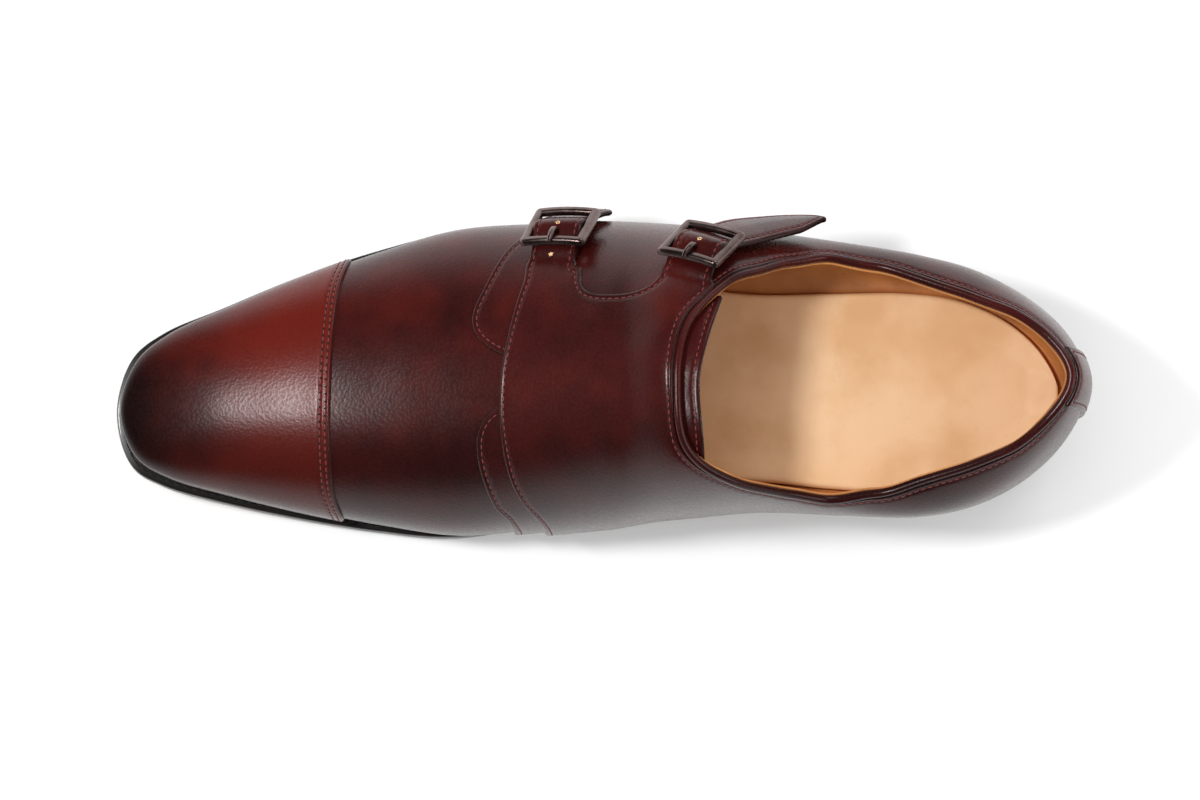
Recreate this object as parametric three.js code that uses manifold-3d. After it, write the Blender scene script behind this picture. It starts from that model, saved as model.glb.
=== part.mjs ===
// Double monk strap shoe with a cap toe, for the right foot, standing empty on its sole.
// Millimetres. The toe points to -X, the heel to +X, the outer (lateral) side is +Y, +Z is up.
import * as THREE from 'three';
import { mergeVertices } from 'three/addons/utils/BufferGeometryUtils.js';
import Module from 'manifold-3d';

const wasm = await Module();
wasm.setup();

// Driving dimensions
const LAST_LENGTH = 307;
const BALL_WIDTH = 99;
const SEAT_HEIGHT = 22.5;
const SHANK_HEIGHT = 19.4;
const TOE_SPRING = 9.5;
const INSTEP_HEIGHT = 98;
const SOLE_THICKNESS = 5;
const WELT_THICKNESS = 2.8;
const INSOLE_THICKNESS = 3;
const LEATHER_WALL = 2;
const OVERLAY_THICKNESS = 1.2;
const GAP = 0.3;
const WELT_MARGIN = 4;
const WAIST_MARGIN = 2;
const WAIST_START = 0.36;
const WAIST_FULL = 0.56;
const EDGE_BEVEL = 0.8;
const RUBBER_LIFT = 6;
const HEEL_LIFTS = 3;
const HEEL_LENGTH = 76;

// Mesh resolution
const RIBS = 32;
const LOW_LEVELS = 2;
const HIGH_LEVELS = 8;

// Plan of the last: share runs from the toe (0) to the heel (1), widths are shares of BALL_WIDTH.
const PLAN = [
  { share: 0.016, outer: 0.125, inner: 0.170, soleOuter: 0.150, soleInner: 0.200 },
  { share: 0.049, outer: 0.212, inner: 0.232, soleOuter: 0.235, soleInner: 0.262 },
  { share: 0.110, outer: 0.300, inner: 0.286, soleOuter: 0.318, soleInner: 0.314 },
  { share: 0.190, outer: 0.406, inner: 0.344, soleOuter: 0.424, soleInner: 0.364 },
  { share: 0.270, outer: 0.494, inner: 0.392, soleOuter: 0.508, soleInner: 0.403 },
  { share: 0.350, outer: 0.562, inner: 0.426, soleOuter: 0.566, soleInner: 0.424 },
  { share: 0.430, outer: 0.577, inner: 0.409, soleOuter: 0.556, soleInner: 0.390 },
  { share: 0.510, outer: 0.568, inner: 0.389, soleOuter: 0.492, soleInner: 0.335 },
  { share: 0.590, outer: 0.547, inner: 0.370, soleOuter: 0.425, soleInner: 0.298 },
  { share: 0.670, outer: 0.522, inner: 0.352, soleOuter: 0.386, soleInner: 0.296 },
  { share: 0.750, outer: 0.484, inner: 0.364, soleOuter: 0.384, soleInner: 0.322 },
  { share: 0.830, outer: 0.440, inner: 0.372, soleOuter: 0.384, soleInner: 0.334 },
  { share: 0.890, outer: 0.386, inner: 0.336, soleOuter: 0.356, soleInner: 0.306 },
  { share: 0.945, outer: 0.286, inner: 0.240, soleOuter: 0.276, soleInner: 0.222 },
  { share: 0.982, outer: 0.168, inner: 0.118, soleOuter: 0.164, soleInner: 0.112 },
];
const TOE_AXIS = -0.028;
const HEEL_AXIS = 0.026;
const TOE_SETBACK = 3;
const HEEL_OVERHANG = 3;

// Underside of the outsole: rise is a share of TOE_SPRING ahead of the ball and of SHANK_HEIGHT behind it.
const BOTTOM = [
  { share: 0.00, toe: 1.00, heel: 0.00 },
  { share: 0.10, toe: 0.53, heel: 0.00 },
  { share: 0.20, toe: 0.13, heel: 0.00 },
  { share: 0.27, toe: 0.00, heel: 0.00 },
  { share: 0.37, toe: 0.00, heel: 0.00 },
  { share: 0.46, toe: 0.00, heel: 0.11 },
  { share: 0.55, toe: 0.00, heel: 0.39 },
  { share: 0.65, toe: 0.00, heel: 0.74 },
  { share: 0.72, toe: 0.00, heel: 0.94 },
  { share: 0.76, toe: 0.00, heel: 1.00 },
  { share: 1.00, toe: 0.00, heel: 1.00 },
];

const SEAT_START = 0.76;

// Sections of the upper: ridge is the top line as a share of INSTEP_HEIGHT, axis its side shift as a
// share of BALL_WIDTH, belly the height of the widest line above the sole as a share of INSTEP_HEIGHT,
// and outerBox and innerBox say how square each side is (2 is an ellipse).
const SECTIONS = [
  { share: 0.00, ridge: 0.300, axis: -0.028, belly: 0.090, outerBox: 2.5, innerBox: 2.5 },
  { share: 0.05, ridge: 0.348, axis: -0.024, belly: 0.095, outerBox: 2.6, innerBox: 2.6 },
  { share: 0.10, ridge: 0.388, axis: -0.018, belly: 0.100, outerBox: 2.6, innerBox: 2.6 },
  { share: 0.16, ridge: 0.430, axis: -0.008, belly: 0.105, outerBox: 2.5, innerBox: 2.5 },
  { share: 0.22, ridge: 0.472, axis: 0.002, belly: 0.110, outerBox: 2.3, innerBox: 2.5 },
  { share: 0.30, ridge: 0.548, axis: 0.014, belly: 0.120, outerBox: 2.1, innerBox: 2.5 },
  { share: 0.38, ridge: 0.648, axis: 0.020, belly: 0.130, outerBox: 2.0, innerBox: 2.6 },
  { share: 0.46, ridge: 0.770, axis: 0.024, belly: 0.150, outerBox: 1.9, innerBox: 2.8 },
  { share: 0.53, ridge: 0.890, axis: 0.028, belly: 0.160, outerBox: 1.8, innerBox: 3.2 },
  { share: 0.58, ridge: 0.992, axis: 0.030, belly: 0.160, outerBox: 1.75, innerBox: 3.8 },
  { share: 0.63, ridge: 1.010, axis: 0.030, belly: 0.160, outerBox: 1.8, innerBox: 5.0 },
  { share: 0.67, ridge: 0.930, axis: 0.028, belly: 0.160, outerBox: 1.9, innerBox: 7.0 },
  { share: 0.72, ridge: 0.820, axis: 0.026, belly: 0.170, outerBox: 2.0, innerBox: 6.0 },
  { share: 0.78, ridge: 0.760, axis: 0.026, belly: 0.190, outerBox: 2.0, innerBox: 2.6 },
  { share: 0.84, ridge: 0.800, axis: 0.026, belly: 0.200, outerBox: 2.0, innerBox: 1.8 },
  { share: 0.90, ridge: 0.890, axis: 0.026, belly: 0.200, outerBox: 2.1, innerBox: 2.0 },
  { share: 0.96, ridge: 1.040, axis: 0.026, belly: 0.200, outerBox: 2.8, innerBox: 2.8 },
  { share: 1.00, ridge: 1.160, axis: 0.026, belly: 0.200, outerBox: 3.2, innerBox: 3.2 },
];
const TOP_BOX = 2.1;
const TOE_FAN = 34;
const HEEL_FAN = 38;
const FAN_REACH = 0.3;

// Topline from the side: height as a share of INSTEP_HEIGHT.
const TOPLINE = [
  { share: 0.574, height: 1.010 },
  { share: 0.587, height: 0.965 },
  { share: 0.605, height: 0.928 },
  { share: 0.630, height: 0.880 },
  { share: 0.660, height: 0.800 },
  { share: 0.700, height: 0.694 },
  { share: 0.745, height: 0.624 },
  { share: 0.785, height: 0.628 },
  { share: 0.830, height: 0.672 },
  { share: 0.875, height: 0.730 },
  { share: 0.920, height: 0.802 },
  { share: 0.960, height: 0.885 },
  { share: 1.020, height: 0.940 },
];

// Edges in plan: share along the last, across as a share of BALL_WIDTH.
const CAP_EDGE = [
  { share: 0.262, across: 0.620 },
  { share: 0.244, across: 0.450 },
  { share: 0.235, across: 0.344 },
  { share: 0.230, across: 0.189 },
  { share: 0.227, across: -0.033 },
  { share: 0.227, across: -0.177 },
  { share: 0.230, across: -0.304 },
  { share: 0.242, across: -0.400 },
  { share: 0.256, across: -0.520 },
];
const OUTER_QUARTER_EDGE = [
  { share: 0.470, across: 0.720 },
  { share: 0.436, across: 0.547 },
  { share: 0.406, across: 0.450 },
  { share: 0.386, across: 0.338 },
  { share: 0.374, across: 0.253 },
  { share: 0.375, across: 0.196 },
  { share: 0.386, across: 0.150 },
  { share: 0.410, across: 0.108 },
  { share: 0.450, across: 0.090 },
  { share: 0.540, across: 0.085 },
  { share: 0.640, across: 0.080 },
];
const INNER_FACING_EDGE = [
  { share: 0.500, across: -0.050 },
  { share: 0.430, across: -0.046 },
  { share: 0.402, across: -0.052 },
  { share: 0.391, across: -0.070 },
  { share: 0.382, across: -0.108 },
  { share: 0.378, across: -0.160 },
  { share: 0.381, across: -0.240 },
  { share: 0.394, across: -0.343 },
  { share: 0.410, across: -0.392 },
  { share: 0.436, across: -0.500 },
];
const FLAP_EDGE = [
  { share: 0.470, across: -0.520 },
  { share: 0.446, across: -0.400 },
  { share: 0.424, across: -0.328 },
  { share: 0.411, across: -0.245 },
  { share: 0.404, across: -0.120 },
  { share: 0.404, across: 0.020 },
  { share: 0.409, across: 0.130 },
  { share: 0.421, across: 0.280 },
  { share: 0.434, across: 0.392 },
];
const FLAP_NOTCH = [
  { share: 0.487, across: 0.380 },
  { share: 0.487, across: 0.334 },
  { share: 0.493, across: 0.303 },
  { share: 0.508, across: 0.288 },
  { share: 0.530, across: 0.286 },
  { share: 0.550, across: 0.298 },
  { share: 0.566, across: 0.322 },
];
// The flap goes on behind the rear strap to the seam up the back of the heel
const FLAP_BRIDGE = [
  { share: 0.612, across: 0.300 },
  { share: 0.640, across: 0.300 },
];
const HEEL_TURN_SHARE = 0.66;
const HEEL_SEAM_SHARE = 0.70;
// The flap comes down beside the instep between these shares, and behind the collar by the last
const FLAP_DROP_START = 0.51;
const FLAP_DROP_END = 0.57;
const FLAP_DROP_ACROSS = 0.15;
const HEEL_DROP_END = 0.74;
const TONGUE_REAR = [
  { share: 0.628, across: 0.300 },
  { share: 0.612, across: 0.150 },
  { share: 0.603, across: 0.010 },
  { share: 0.605, across: -0.130 },
  { share: 0.608, across: -0.270 },
];
const TONGUE_FRONT = 0.42;
const TONGUE_THICKNESS = 1.5;
const INNER_FACING_REAR = 0.5;
const BACK_STRIP_WIDTH = 17;
const BACK_STRIP_START = 0.9;

// Straps: along runs from the flap to the tip; girth is 0 at the widest line and 1 on the ridge; lift is
// the height of the strap's middle above the upper in strap thicknesses; wide is a share of its width.
const STRAP_WIDTH = 15;
const STRAP_THICKNESS = 2.2;
const FRONT_STRAP = [
  { along: 0.00, place: 0.4560, girth: 0.522, lift: 1.32, wide: 1.00 },
  { along: 0.16, place: 0.4600, girth: 0.470, lift: 1.45, wide: 1.00 },
  { along: 0.36, place: 0.4665, girth: 0.375, lift: 2.50, wide: 1.00 },
  { along: 0.56, place: 0.4735, girth: 0.270, lift: 1.90, wide: 1.00 },
  { along: 0.76, place: 0.4830, girth: 0.170, lift: 1.75, wide: 1.00 },
  { along: 0.93, place: 0.4960, girth: 0.080, lift: 1.75, wide: 0.90 },
  { along: 1.00, place: 0.5030, girth: 0.045, lift: 1.80, wide: 0.50 },
];
const REAR_STRAP = [
  { along: 0.00, place: 0.5890, girth: 0.630, lift: 1.32, wide: 1.00 },
  { along: 0.11, place: 0.5950, girth: 0.580, lift: 1.45, wide: 1.00 },
  { along: 0.25, place: 0.6080, girth: 0.480, lift: 2.50, wide: 1.00 },
  { along: 0.39, place: 0.6260, girth: 0.385, lift: 1.90, wide: 1.00 },
  { along: 0.60, place: 0.6570, girth: 0.290, lift: 2.10, wide: 1.00 },
  { along: 0.82, place: 0.6960, girth: 0.215, lift: 2.90, wide: 0.86 },
  { along: 0.94, place: 0.7180, girth: 0.185, lift: 3.50, wide: 0.50 },
  { along: 1.00, place: 0.7290, girth: 0.175, lift: 3.80, wide: 0.14 },
];
const FRONT_BUCKLE_ALONG = 0.36;
const REAR_BUCKLE_ALONG = 0.25;

// Buckle: a frame with a low middle bar under the strap
const BUCKLE_WIDTH = 21.5;
const BUCKLE_DEPTH = 20;
const BUCKLE_BAR = 2.4;
const BUCKLE_CORNER = 2;
const MIDDLE_BAR = 1.8;
const PRONG_DIAMETER = 1.7;
const PRONG_HOLE = 3.2;
const ELASTIC_WIDTH = 11;
const ELASTIC_THICKNESS = 0.9;
// Where each elastic starts and ends along its strap
const FRONT_ELASTIC = { start: 0.46, end: 0.80 };
const REAR_ELASTIC = { start: 0.31, end: 0.50 };

const PIPING_DIAMETER = 2.8;

// Colours
const LEATHER = 0x4a1114;
const CAP_LEATHER = 0x5a140f;
const TAN = 0xd9a066;
const EDGE_BLACK = 0x17110f;
const GUNMETAL = 0x3a3634;

// Smooth curve through the rows of a table, without overshoot.
function through(rows, column, place, key = 'share') {
  const last = rows.length - 1;
  const at = Math.min(Math.max(place, rows[0][key]), rows[last][key]);
  let k = 0;
  while (k < last - 1 && at > rows[k + 1][key]) k += 1;
  const slope = (j) => (rows[j + 1][column] - rows[j][column]) / (rows[j + 1][key] - rows[j][key]);
  const tangent = (j) => {
    if (j === 0) return slope(0);
    if (j === last) return slope(last - 1);
    const before = slope(j - 1);
    const after = slope(j);
    return before * after <= 0 ? 0 : (2 * before * after) / (before + after);
  };
  const span = rows[k + 1][key] - rows[k][key];
  const t = (at - rows[k][key]) / span;
  const a = rows[k][column];
  const b = rows[k + 1][column];
  return (2 * t ** 3 - 3 * t ** 2 + 1) * a + (t ** 3 - 2 * t ** 2 + t) * span * tangent(k)
    + (3 * t ** 2 - 2 * t ** 3) * b + (t ** 3 - t ** 2) * span * tangent(k + 1);
}

const lengthAt = (share) => share * LAST_LENGTH;
const bottomAt = (x) => {
  const share = x / LAST_LENGTH;
  return through(BOTTOM, 'toe', share) * TOE_SPRING + through(BOTTOM, 'heel', share) * SHANK_HEIGHT
    + (Math.max(0, share - SEAT_START) / (1 - SEAT_START)) * (SEAT_HEIGHT - SHANK_HEIGHT);
};
const seatAt = (x) => bottomAt(x) + SOLE_THICKNESS + WELT_THICKNESS + 2 * GAP;
const ridgeAt = (x) => through(SECTIONS, 'ridge', x / LAST_LENGTH) * INSTEP_HEIGHT;

// Closed plan curve through the table's rows, toe first, then the outer side, the heel and the inner side.
function planCurve(outer, inner, toeX, heelX) {
  const side = (rows, column, sign) => rows.map((row) => new THREE.Vector3(
    THREE.MathUtils.lerp(toeX, heelX, row.share), sign * row[column] * BALL_WIDTH, 0));
  const points = [
    new THREE.Vector3(toeX, TOE_AXIS * BALL_WIDTH, 0),
    ...side(PLAN, outer, 1),
    new THREE.Vector3(heelX, HEEL_AXIS * BALL_WIDTH, 0),
    ...side([...PLAN].reverse(), inner, -1),
  ];
  return new THREE.CatmullRomCurve3(points, true, 'centripetal');
}
const BELLY_CURVE = planCurve('outer', 'inner', TOE_SETBACK, LAST_LENGTH);
const SOLE_CURVE = planCurve('soleOuter', 'soleInner', 0, LAST_LENGTH - HEEL_OVERHANG);
const HEEL_KNOT = (PLAN.length + 1) / (2 * PLAN.length + 2);

// Ribs are numbered around the plan: 0 at the toe, RIBS at the heel, and back along the inner side.
const ribCount = 2 * RIBS;
const ribKnot = (k) => (k <= RIBS ? (k / RIBS) * HEEL_KNOT
  : HEEL_KNOT + ((k - RIBS) / RIBS) * (1 - HEEL_KNOT));
function planPoint(curve, knot, inset) {
  const p = curve.getPoint(((knot % 1) + 1) % 1);
  if (inset === 0) return p;
  const t = curve.getTangent(((knot % 1) + 1) % 1);
  return p.add(new THREE.Vector3(t.y, -t.x, 0).setLength(inset));
}

// Margin from the sole's edge in to the foot of the upper's wall.
const marginAt = (x) => THREE.MathUtils.lerp(WELT_MARGIN, WAIST_MARGIN,
  THREE.MathUtils.smoothstep(x, lengthAt(WAIST_START), lengthAt(WAIST_FULL)));
const footPoint = (k) => {
  const knot = ribKnot(k);
  return planPoint(SOLE_CURVE, knot, marginAt(planPoint(SOLE_CURVE, knot, 0).x));
};

// Place on the ridge where rib k ends: the ribs fan out at the toe and at the heel.
function ridgePoint(k) {
  const other = (ribCount - k) % ribCount;
  const x = 0.5 * (BELLY_CURVE.getPoint(ribKnot(k)).x + BELLY_CURVE.getPoint(ribKnot(other) % 1).x);
  const reach = FAN_REACH * LAST_LENGTH;
  const toe = Math.max(0, 1 - (x - TOE_SETBACK) / reach) ** 2 * TOE_FAN;
  const heel = Math.max(0, 1 - (LAST_LENGTH - x) / reach) ** 2 * HEEL_FAN;
  const ridgeX = x + toe - heel;
  return new THREE.Vector3(ridgeX, through(SECTIONS, 'axis', ridgeX / LAST_LENGTH) * BALL_WIDTH, 0);
}

// A point of the last's surface on rib k; level runs from 0 at the foot over LOW_LEVELS at the widest
// line to LOW_LEVELS + HIGH_LEVELS on the ridge.
function lastPoint(k, level) {
  const belly = BELLY_CURVE.getPoint(ribKnot(k) % 1);
  const foot = footPoint(k);
  const footZ = seatAt(foot.x);
  const share = belly.x / LAST_LENGTH;
  const bellyZ = footZ + through(SECTIONS, 'belly', share) * INSTEP_HEIGHT;
  if (level < LOW_LEVELS) {
    const turn = (level / LOW_LEVELS) * (Math.PI / 2);
    const out = Math.sin(turn);
    return new THREE.Vector3(
      THREE.MathUtils.lerp(foot.x, belly.x, out),
      THREE.MathUtils.lerp(foot.y, belly.y, out),
      THREE.MathUtils.lerp(footZ, bellyZ, 1 - Math.cos(turn)));
  }
  const ridge = ridgePoint(k);
  const turn = ((level - LOW_LEVELS) / HIGH_LEVELS) * (Math.PI / 2);
  const inward = Math.cos(turn);
  const side = k % RIBS === 0 ? 0.5 : (k < RIBS ? 1 : 0);
  const box = THREE.MathUtils.lerp(through(SECTIONS, 'innerBox', share),
    through(SECTIONS, 'outerBox', share), side);
  const x = THREE.MathUtils.lerp(ridge.x, belly.x, inward);
  const y = THREE.MathUtils.lerp(ridge.y, belly.y, inward);
  const climb = (1 - inward ** box) ** (1 / TOP_BOX);
  return new THREE.Vector3(x, y, THREE.MathUtils.lerp(bellyZ, ridgeAt(x), climb));
}

const levelCount = LOW_LEVELS + HIGH_LEVELS;
const wrap = (k) => ((k % ribCount) + ribCount) % ribCount;
const grid = Array.from({ length: ribCount }, (_, k) => (
  Array.from({ length: levelCount + 1 }, (__, j) => lastPoint(k, j))));

// Outward direction of the last's surface at rib k and level j, from the neighbouring points.
const normals = grid.map((rib, k) => rib.map((point, j) => {
  const around = grid[wrap(k + 1)][j].clone().sub(grid[wrap(k - 1)][j]);
  const top = j === levelCount;
  const above = top ? grid[wrap(ribCount - k)][j - 1] : rib[j + 1];
  const rise = above.clone().sub(rib[Math.max(j - 1, 0)]);
  if (top) around.set(1, 0, ridgeAt(point.x + 1) - ridgeAt(point.x)).multiplyScalar(k <= RIBS ? 1 : -1);
  const normal = rise.cross(around).normalize();
  if (top) normal.setY(k % RIBS === 0 ? 0 : normal.y);
  if (j === 0) normal.setZ(0).normalize();
  return normal.z < 0 && top ? normal.negate() : normal;
}));

// Solid from points and triangles, with coincident points merged.
function solidFromTriangles(points, triangles) {
  const flat = new THREE.BufferGeometry();
  flat.setAttribute('position', new THREE.Float32BufferAttribute(points.flatMap((p) => [p.x, p.y, p.z]), 3));
  flat.setIndex(triangles);
  const merged = mergeVertices(flat, 1e-4);
  const index = merged.index.array;
  const kept = [];
  for (let i = 0; i < index.length; i += 3) {
    const [a, b, c] = [index[i], index[i + 1], index[i + 2]];
    if (a !== b && b !== c && c !== a) kept.push(a, b, c);
  }
  return new wasm.Manifold(new wasm.Mesh({
    numProp: 3,
    vertProperties: new Float32Array(merged.attributes.position.array),
    triVerts: new Uint32Array(kept),
  }));
}

// The last grown by an offset, as a solid; drop lowers its foot ring.
function lastForm(offset, drop) {
  const points = [];
  const triangles = [];
  const offsetAt = typeof offset === 'function' ? offset : () => offset;
  for (let k = 0; k < ribCount; k += 1) {
    for (let j = 0; j <= levelCount; j += 1) {
      const partner = wrap(ribCount - k);
      const normal = normals[k][j].clone();
      if (j === levelCount) normal.add(normals[partner][j]).normalize();
      const grown = grid[k][j].clone().addScaledVector(normal, offsetAt(grid[k][j], k, j));
      if (j === 0) grown.z -= drop;
      points.push(grown);
    }
  }
  const at = (k, j) => wrap(k) * (levelCount + 1) + j;
  for (let k = 0; k < ribCount; k += 1) {
    for (let j = 0; j < levelCount; j += 1) {
      triangles.push(at(k, j), at(k, j + 1), at(k + 1, j));
      triangles.push(at(k + 1, j), at(k, j + 1), at(k + 1, j + 1));
    }
  }
  for (let k = 0; k < RIBS; k += 1) {
    const left = wrap(ribCount - k);
    const next = wrap(ribCount - k - 1);
    triangles.push(at(k, 0), at(k + 1, 0), at(left, 0));
    triangles.push(at(k + 1, 0), at(next, 0), at(left, 0));
  }
  return solidFromTriangles(points, triangles);
}

// A slab between two heights that depend on x, inside a closed plan outline given in rib order.
function slab(outline, lowAt, highAt, bevel) {
  const count = outline.length;
  const middle = (i) => outline[(i + 1) % count].clone().sub(outline[(i + count - 1) % count]);
  const inward = outline.map((p, i) => {
    const t = middle(i);
    return p.clone().add(new THREE.Vector3(t.y, -t.x, 0).setLength(bevel));
  });
  const rings = [
    inward.map((p) => new THREE.Vector3(p.x, p.y, lowAt(p.x))),
    outline.map((p) => new THREE.Vector3(p.x, p.y, lowAt(p.x) + bevel)),
    outline.map((p) => new THREE.Vector3(p.x, p.y, highAt(p.x) - bevel)),
    inward.map((p) => new THREE.Vector3(p.x, p.y, highAt(p.x))),
  ];
  const points = rings.flat();
  const triangles = [];
  const at = (ring, i) => ring * count + (i % count);
  for (let ring = 0; ring < 3; ring += 1) {
    for (let i = 0; i < count; i += 1) {
      triangles.push(at(ring, i), at(ring + 1, i), at(ring, i + 1));
      triangles.push(at(ring, i + 1), at(ring + 1, i), at(ring + 1, i + 1));
    }
  }
  const half = count / 2;
  for (let i = 0; i < half; i += 1) {
    const left = (count - i) % count;
    const next = count - i - 1;
    triangles.push(at(0, i), at(0, i + 1), at(0, left), at(0, i + 1), at(0, next), at(0, left));
    triangles.push(at(3, i), at(3, left), at(3, i + 1), at(3, i + 1), at(3, left), at(3, next));
  }
  return solidFromTriangles(points, triangles);
}

const ribs = Array.from({ length: ribCount }, (_, k) => k);
const soleOutline = (inset) => ribs.map((k) => planPoint(SOLE_CURVE, ribKnot(k), inset));
const footOutline = (inset) => ribs.map((k) => grid[k][0].clone()
  .addScaledVector(normals[k][0], -inset).setZ(0));

// Prism across the whole shoe from a side-view outline of [x, z] pairs.
function sidePrism(outline) {
  const shape = new THREE.Shape(outline.map(([x, z]) => new THREE.Vector2(x, z)));
  const geometry = new THREE.ExtrudeGeometry(shape, { depth: 3 * BALL_WIDTH, bevelEnabled: false });
  geometry.rotateX(Math.PI / 2).translate(0, 1.5 * BALL_WIDTH, 0);
  return fromGeometry(geometry);
}

// Upright prism from a plan outline of [x, y] pairs.
function planPrism(outline, low, high) {
  const shape = new THREE.Shape(outline.map(([x, y]) => new THREE.Vector2(x, y)));
  const geometry = new THREE.ExtrudeGeometry(shape, { depth: high - low, bevelEnabled: false });
  geometry.translate(0, 0, low);
  return fromGeometry(geometry);
}

function fromGeometry(geometry) {
  geometry.deleteAttribute('normal');
  geometry.deleteAttribute('uv');
  const merged = mergeVertices(geometry, 1e-4);
  return new wasm.Manifold(new wasm.Mesh({
    numProp: 3,
    vertProperties: new Float32Array(merged.attributes.position.array),
    triVerts: new Uint32Array(merged.index ? merged.index.array : []),
  }));
}

const group = new THREE.Group();
function addPiece(name, solid, color, roughness, metalness) {
  const mesh = solid.getMesh();
  const geometry = new THREE.BufferGeometry();
  geometry.setAttribute('position', new THREE.BufferAttribute(new Float32Array(mesh.vertProperties), 3));
  geometry.setIndex(new THREE.BufferAttribute(new Uint32Array(mesh.triVerts), 1));
  geometry.computeVertexNormals();
  const piece = new THREE.Mesh(geometry, new THREE.MeshStandardMaterial({ color, roughness, metalness }));
  piece.name = name;
  group.add(piece);
}

// Outsole, welt, insole
const HIGH_ABOVE = 2 * INSTEP_HEIGHT;
const breastX = LAST_LENGTH - HEEL_OVERHANG - HEEL_LENGTH;
const outsole = slab(soleOutline(0), bottomAt, (x) => bottomAt(x) + SOLE_THICKNESS, EDGE_BEVEL);
const weltLow = (x) => bottomAt(x) + SOLE_THICKNESS + GAP;
const weltRing = slab(soleOutline(0), weltLow, (x) => weltLow(x) + WELT_THICKNESS, EDGE_BEVEL)
  .subtract(slab(footOutline(LEATHER_WALL), (x) => weltLow(x) - SOLE_THICKNESS,
    (x) => weltLow(x) + SOLE_THICKNESS + WELT_THICKNESS, EDGE_BEVEL));
const behind = (x) => sidePrism([[x, -HIGH_ABOVE], [2 * LAST_LENGTH, -HIGH_ABOVE],
  [2 * LAST_LENGTH, HIGH_ABOVE], [x, HIGH_ABOVE]]);
addPiece('outsole', outsole, EDGE_BLACK, 0.45, 0);
addPiece('welt', weltRing.subtract(behind(breastX)), EDGE_BLACK, 0.4, 0);
addPiece('heel_rand', weltRing.intersect(behind(breastX + GAP)), EDGE_BLACK, 0.4, 0);
addPiece('insole', slab(footOutline(LEATHER_WALL + GAP), weltLow,
  (x) => seatAt(x) + INSOLE_THICKNESS, EDGE_BEVEL), TAN, 0.7, 0);

// Heel: stacked lifts over a rubber top piece
const liftHeight = (SHANK_HEIGHT - RUBBER_LIFT - GAP) / HEEL_LIFTS;
const heelBlock = behind(breastX);
for (let k = 0; k < HEEL_LIFTS; k += 1) {
  const low = RUBBER_LIFT + GAP + k * liftHeight;
  const top = k === HEEL_LIFTS - 1;
  const highAt = top ? (x) => bottomAt(x) - GAP : () => low + liftHeight - GAP;
  addPiece(`heel_lift_${k + 1}`, slab(soleOutline(0), () => low, highAt, GAP).intersect(heelBlock),
    EDGE_BLACK, 0.45, 0);
}
addPiece('heel_top_piece', slab(soleOutline(0), () => 0, () => RUBBER_LIFT, EDGE_BEVEL)
  .intersect(heelBlock), EDGE_BLACK, 0.8, 0);

// Upper: one hollow shell, open at the collar and under the foot
const topAt = (x) => through(TOPLINE, 'height', x / LAST_LENGTH) * INSTEP_HEIGHT;
const toplineSteps = 36;
const toplinePoints = Array.from({ length: toplineSteps + 1 }, (_, i) => {
  const x = lengthAt(THREE.MathUtils.lerp(TOPLINE[0].share, TOPLINE.at(-1).share, i / toplineSteps));
  return [x, topAt(x)];
});
const collarCut = sidePrism([[toplinePoints[0][0], HIGH_ABOVE], ...toplinePoints,
  [toplinePoints.at(-1)[0], HIGH_ABOVE]].reverse());
const upper = lastForm(0, 0).subtract(lastForm(-LEATHER_WALL, SOLE_THICKNESS)).subtract(collarCut);
addPiece('upper', upper, LEATHER, 0.35, 0);

// Places on the outer side of the last
const ribAtShare = (share) => {
  let low = 0;
  let high = RIBS;
  for (let i = 0; i < 40; i += 1) {
    const middle = (low + high) / 2;
    if (BELLY_CURVE.getPoint(ribKnot(middle)).x < lengthAt(share)) low = middle;
    else high = middle;
  }
  return (low + high) / 2;
};
function outerPlace(share, girth, lift) {
  const k = ribAtShare(share);
  const level = LOW_LEVELS + girth * HIGH_LEVELS;
  const step = 0.05;
  const along = lastPoint(k + step, level).sub(lastPoint(k - step, level));
  const rise = lastPoint(k, level + step).sub(lastPoint(k, level - step));
  const normal = rise.cross(along).normalize();
  return { point: lastPoint(k, level).addScaledVector(normal, lift), normal };
}

// Overlays: leather between two grown forms of the last, inside a plan region
const LAYER = OVERLAY_THICKNESS + GAP;
const layerShell = (innerOffset, outerOffset) => lastForm(outerOffset, 0)
  .subtract(lastForm(innerOffset, SOLE_THICKNESS)).subtract(collarCut);
const planEdge = (rows, steps) => new THREE.SplineCurve(rows.map((row) => (
  new THREE.Vector2(lengthAt(row.share), row.across * BALL_WIDTH)))).getPoints(steps)
  .map((p) => [p.x, p.y]);
const region = (outline) => planPrism(outline, -HIGH_ABOVE, HIGH_ABOVE);
const heelY = HEEL_AXIS * BALL_WIDTH;
const farX = 1.2 * LAST_LENGTH;
const farY = BALL_WIDTH;
const firstLayer = layerShell(GAP, LAYER);
const capEdge = planEdge(CAP_EDGE, 20);
addPiece('toe_cap', firstLayer.intersect(region([...capEdge, [-farX, -farY], [-farX, farY]].reverse())),
  CAP_LEATHER, 0.25, 0);
const outerQuarter = region([...planEdge(OUTER_QUARTER_EDGE, 28), [lengthAt(HEEL_SEAM_SHARE), heelY + GAP],
  [farX, heelY + GAP], [farX, farY], [lengthAt(OUTER_QUARTER_EDGE[0].share), farY]]);
addPiece('outer_quarter', firstLayer.intersect(outerQuarter), LEATHER, 0.35, 0);
const innerFacing = region([...planEdge(INNER_FACING_EDGE, 24),
  [lengthAt(INNER_FACING_EDGE.at(-1).share), -farY], [lengthAt(INNER_FACING_REAR), -farY]]);
addPiece('inner_facing', firstLayer.intersect(innerFacing), LEATHER, 0.35, 0);

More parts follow.
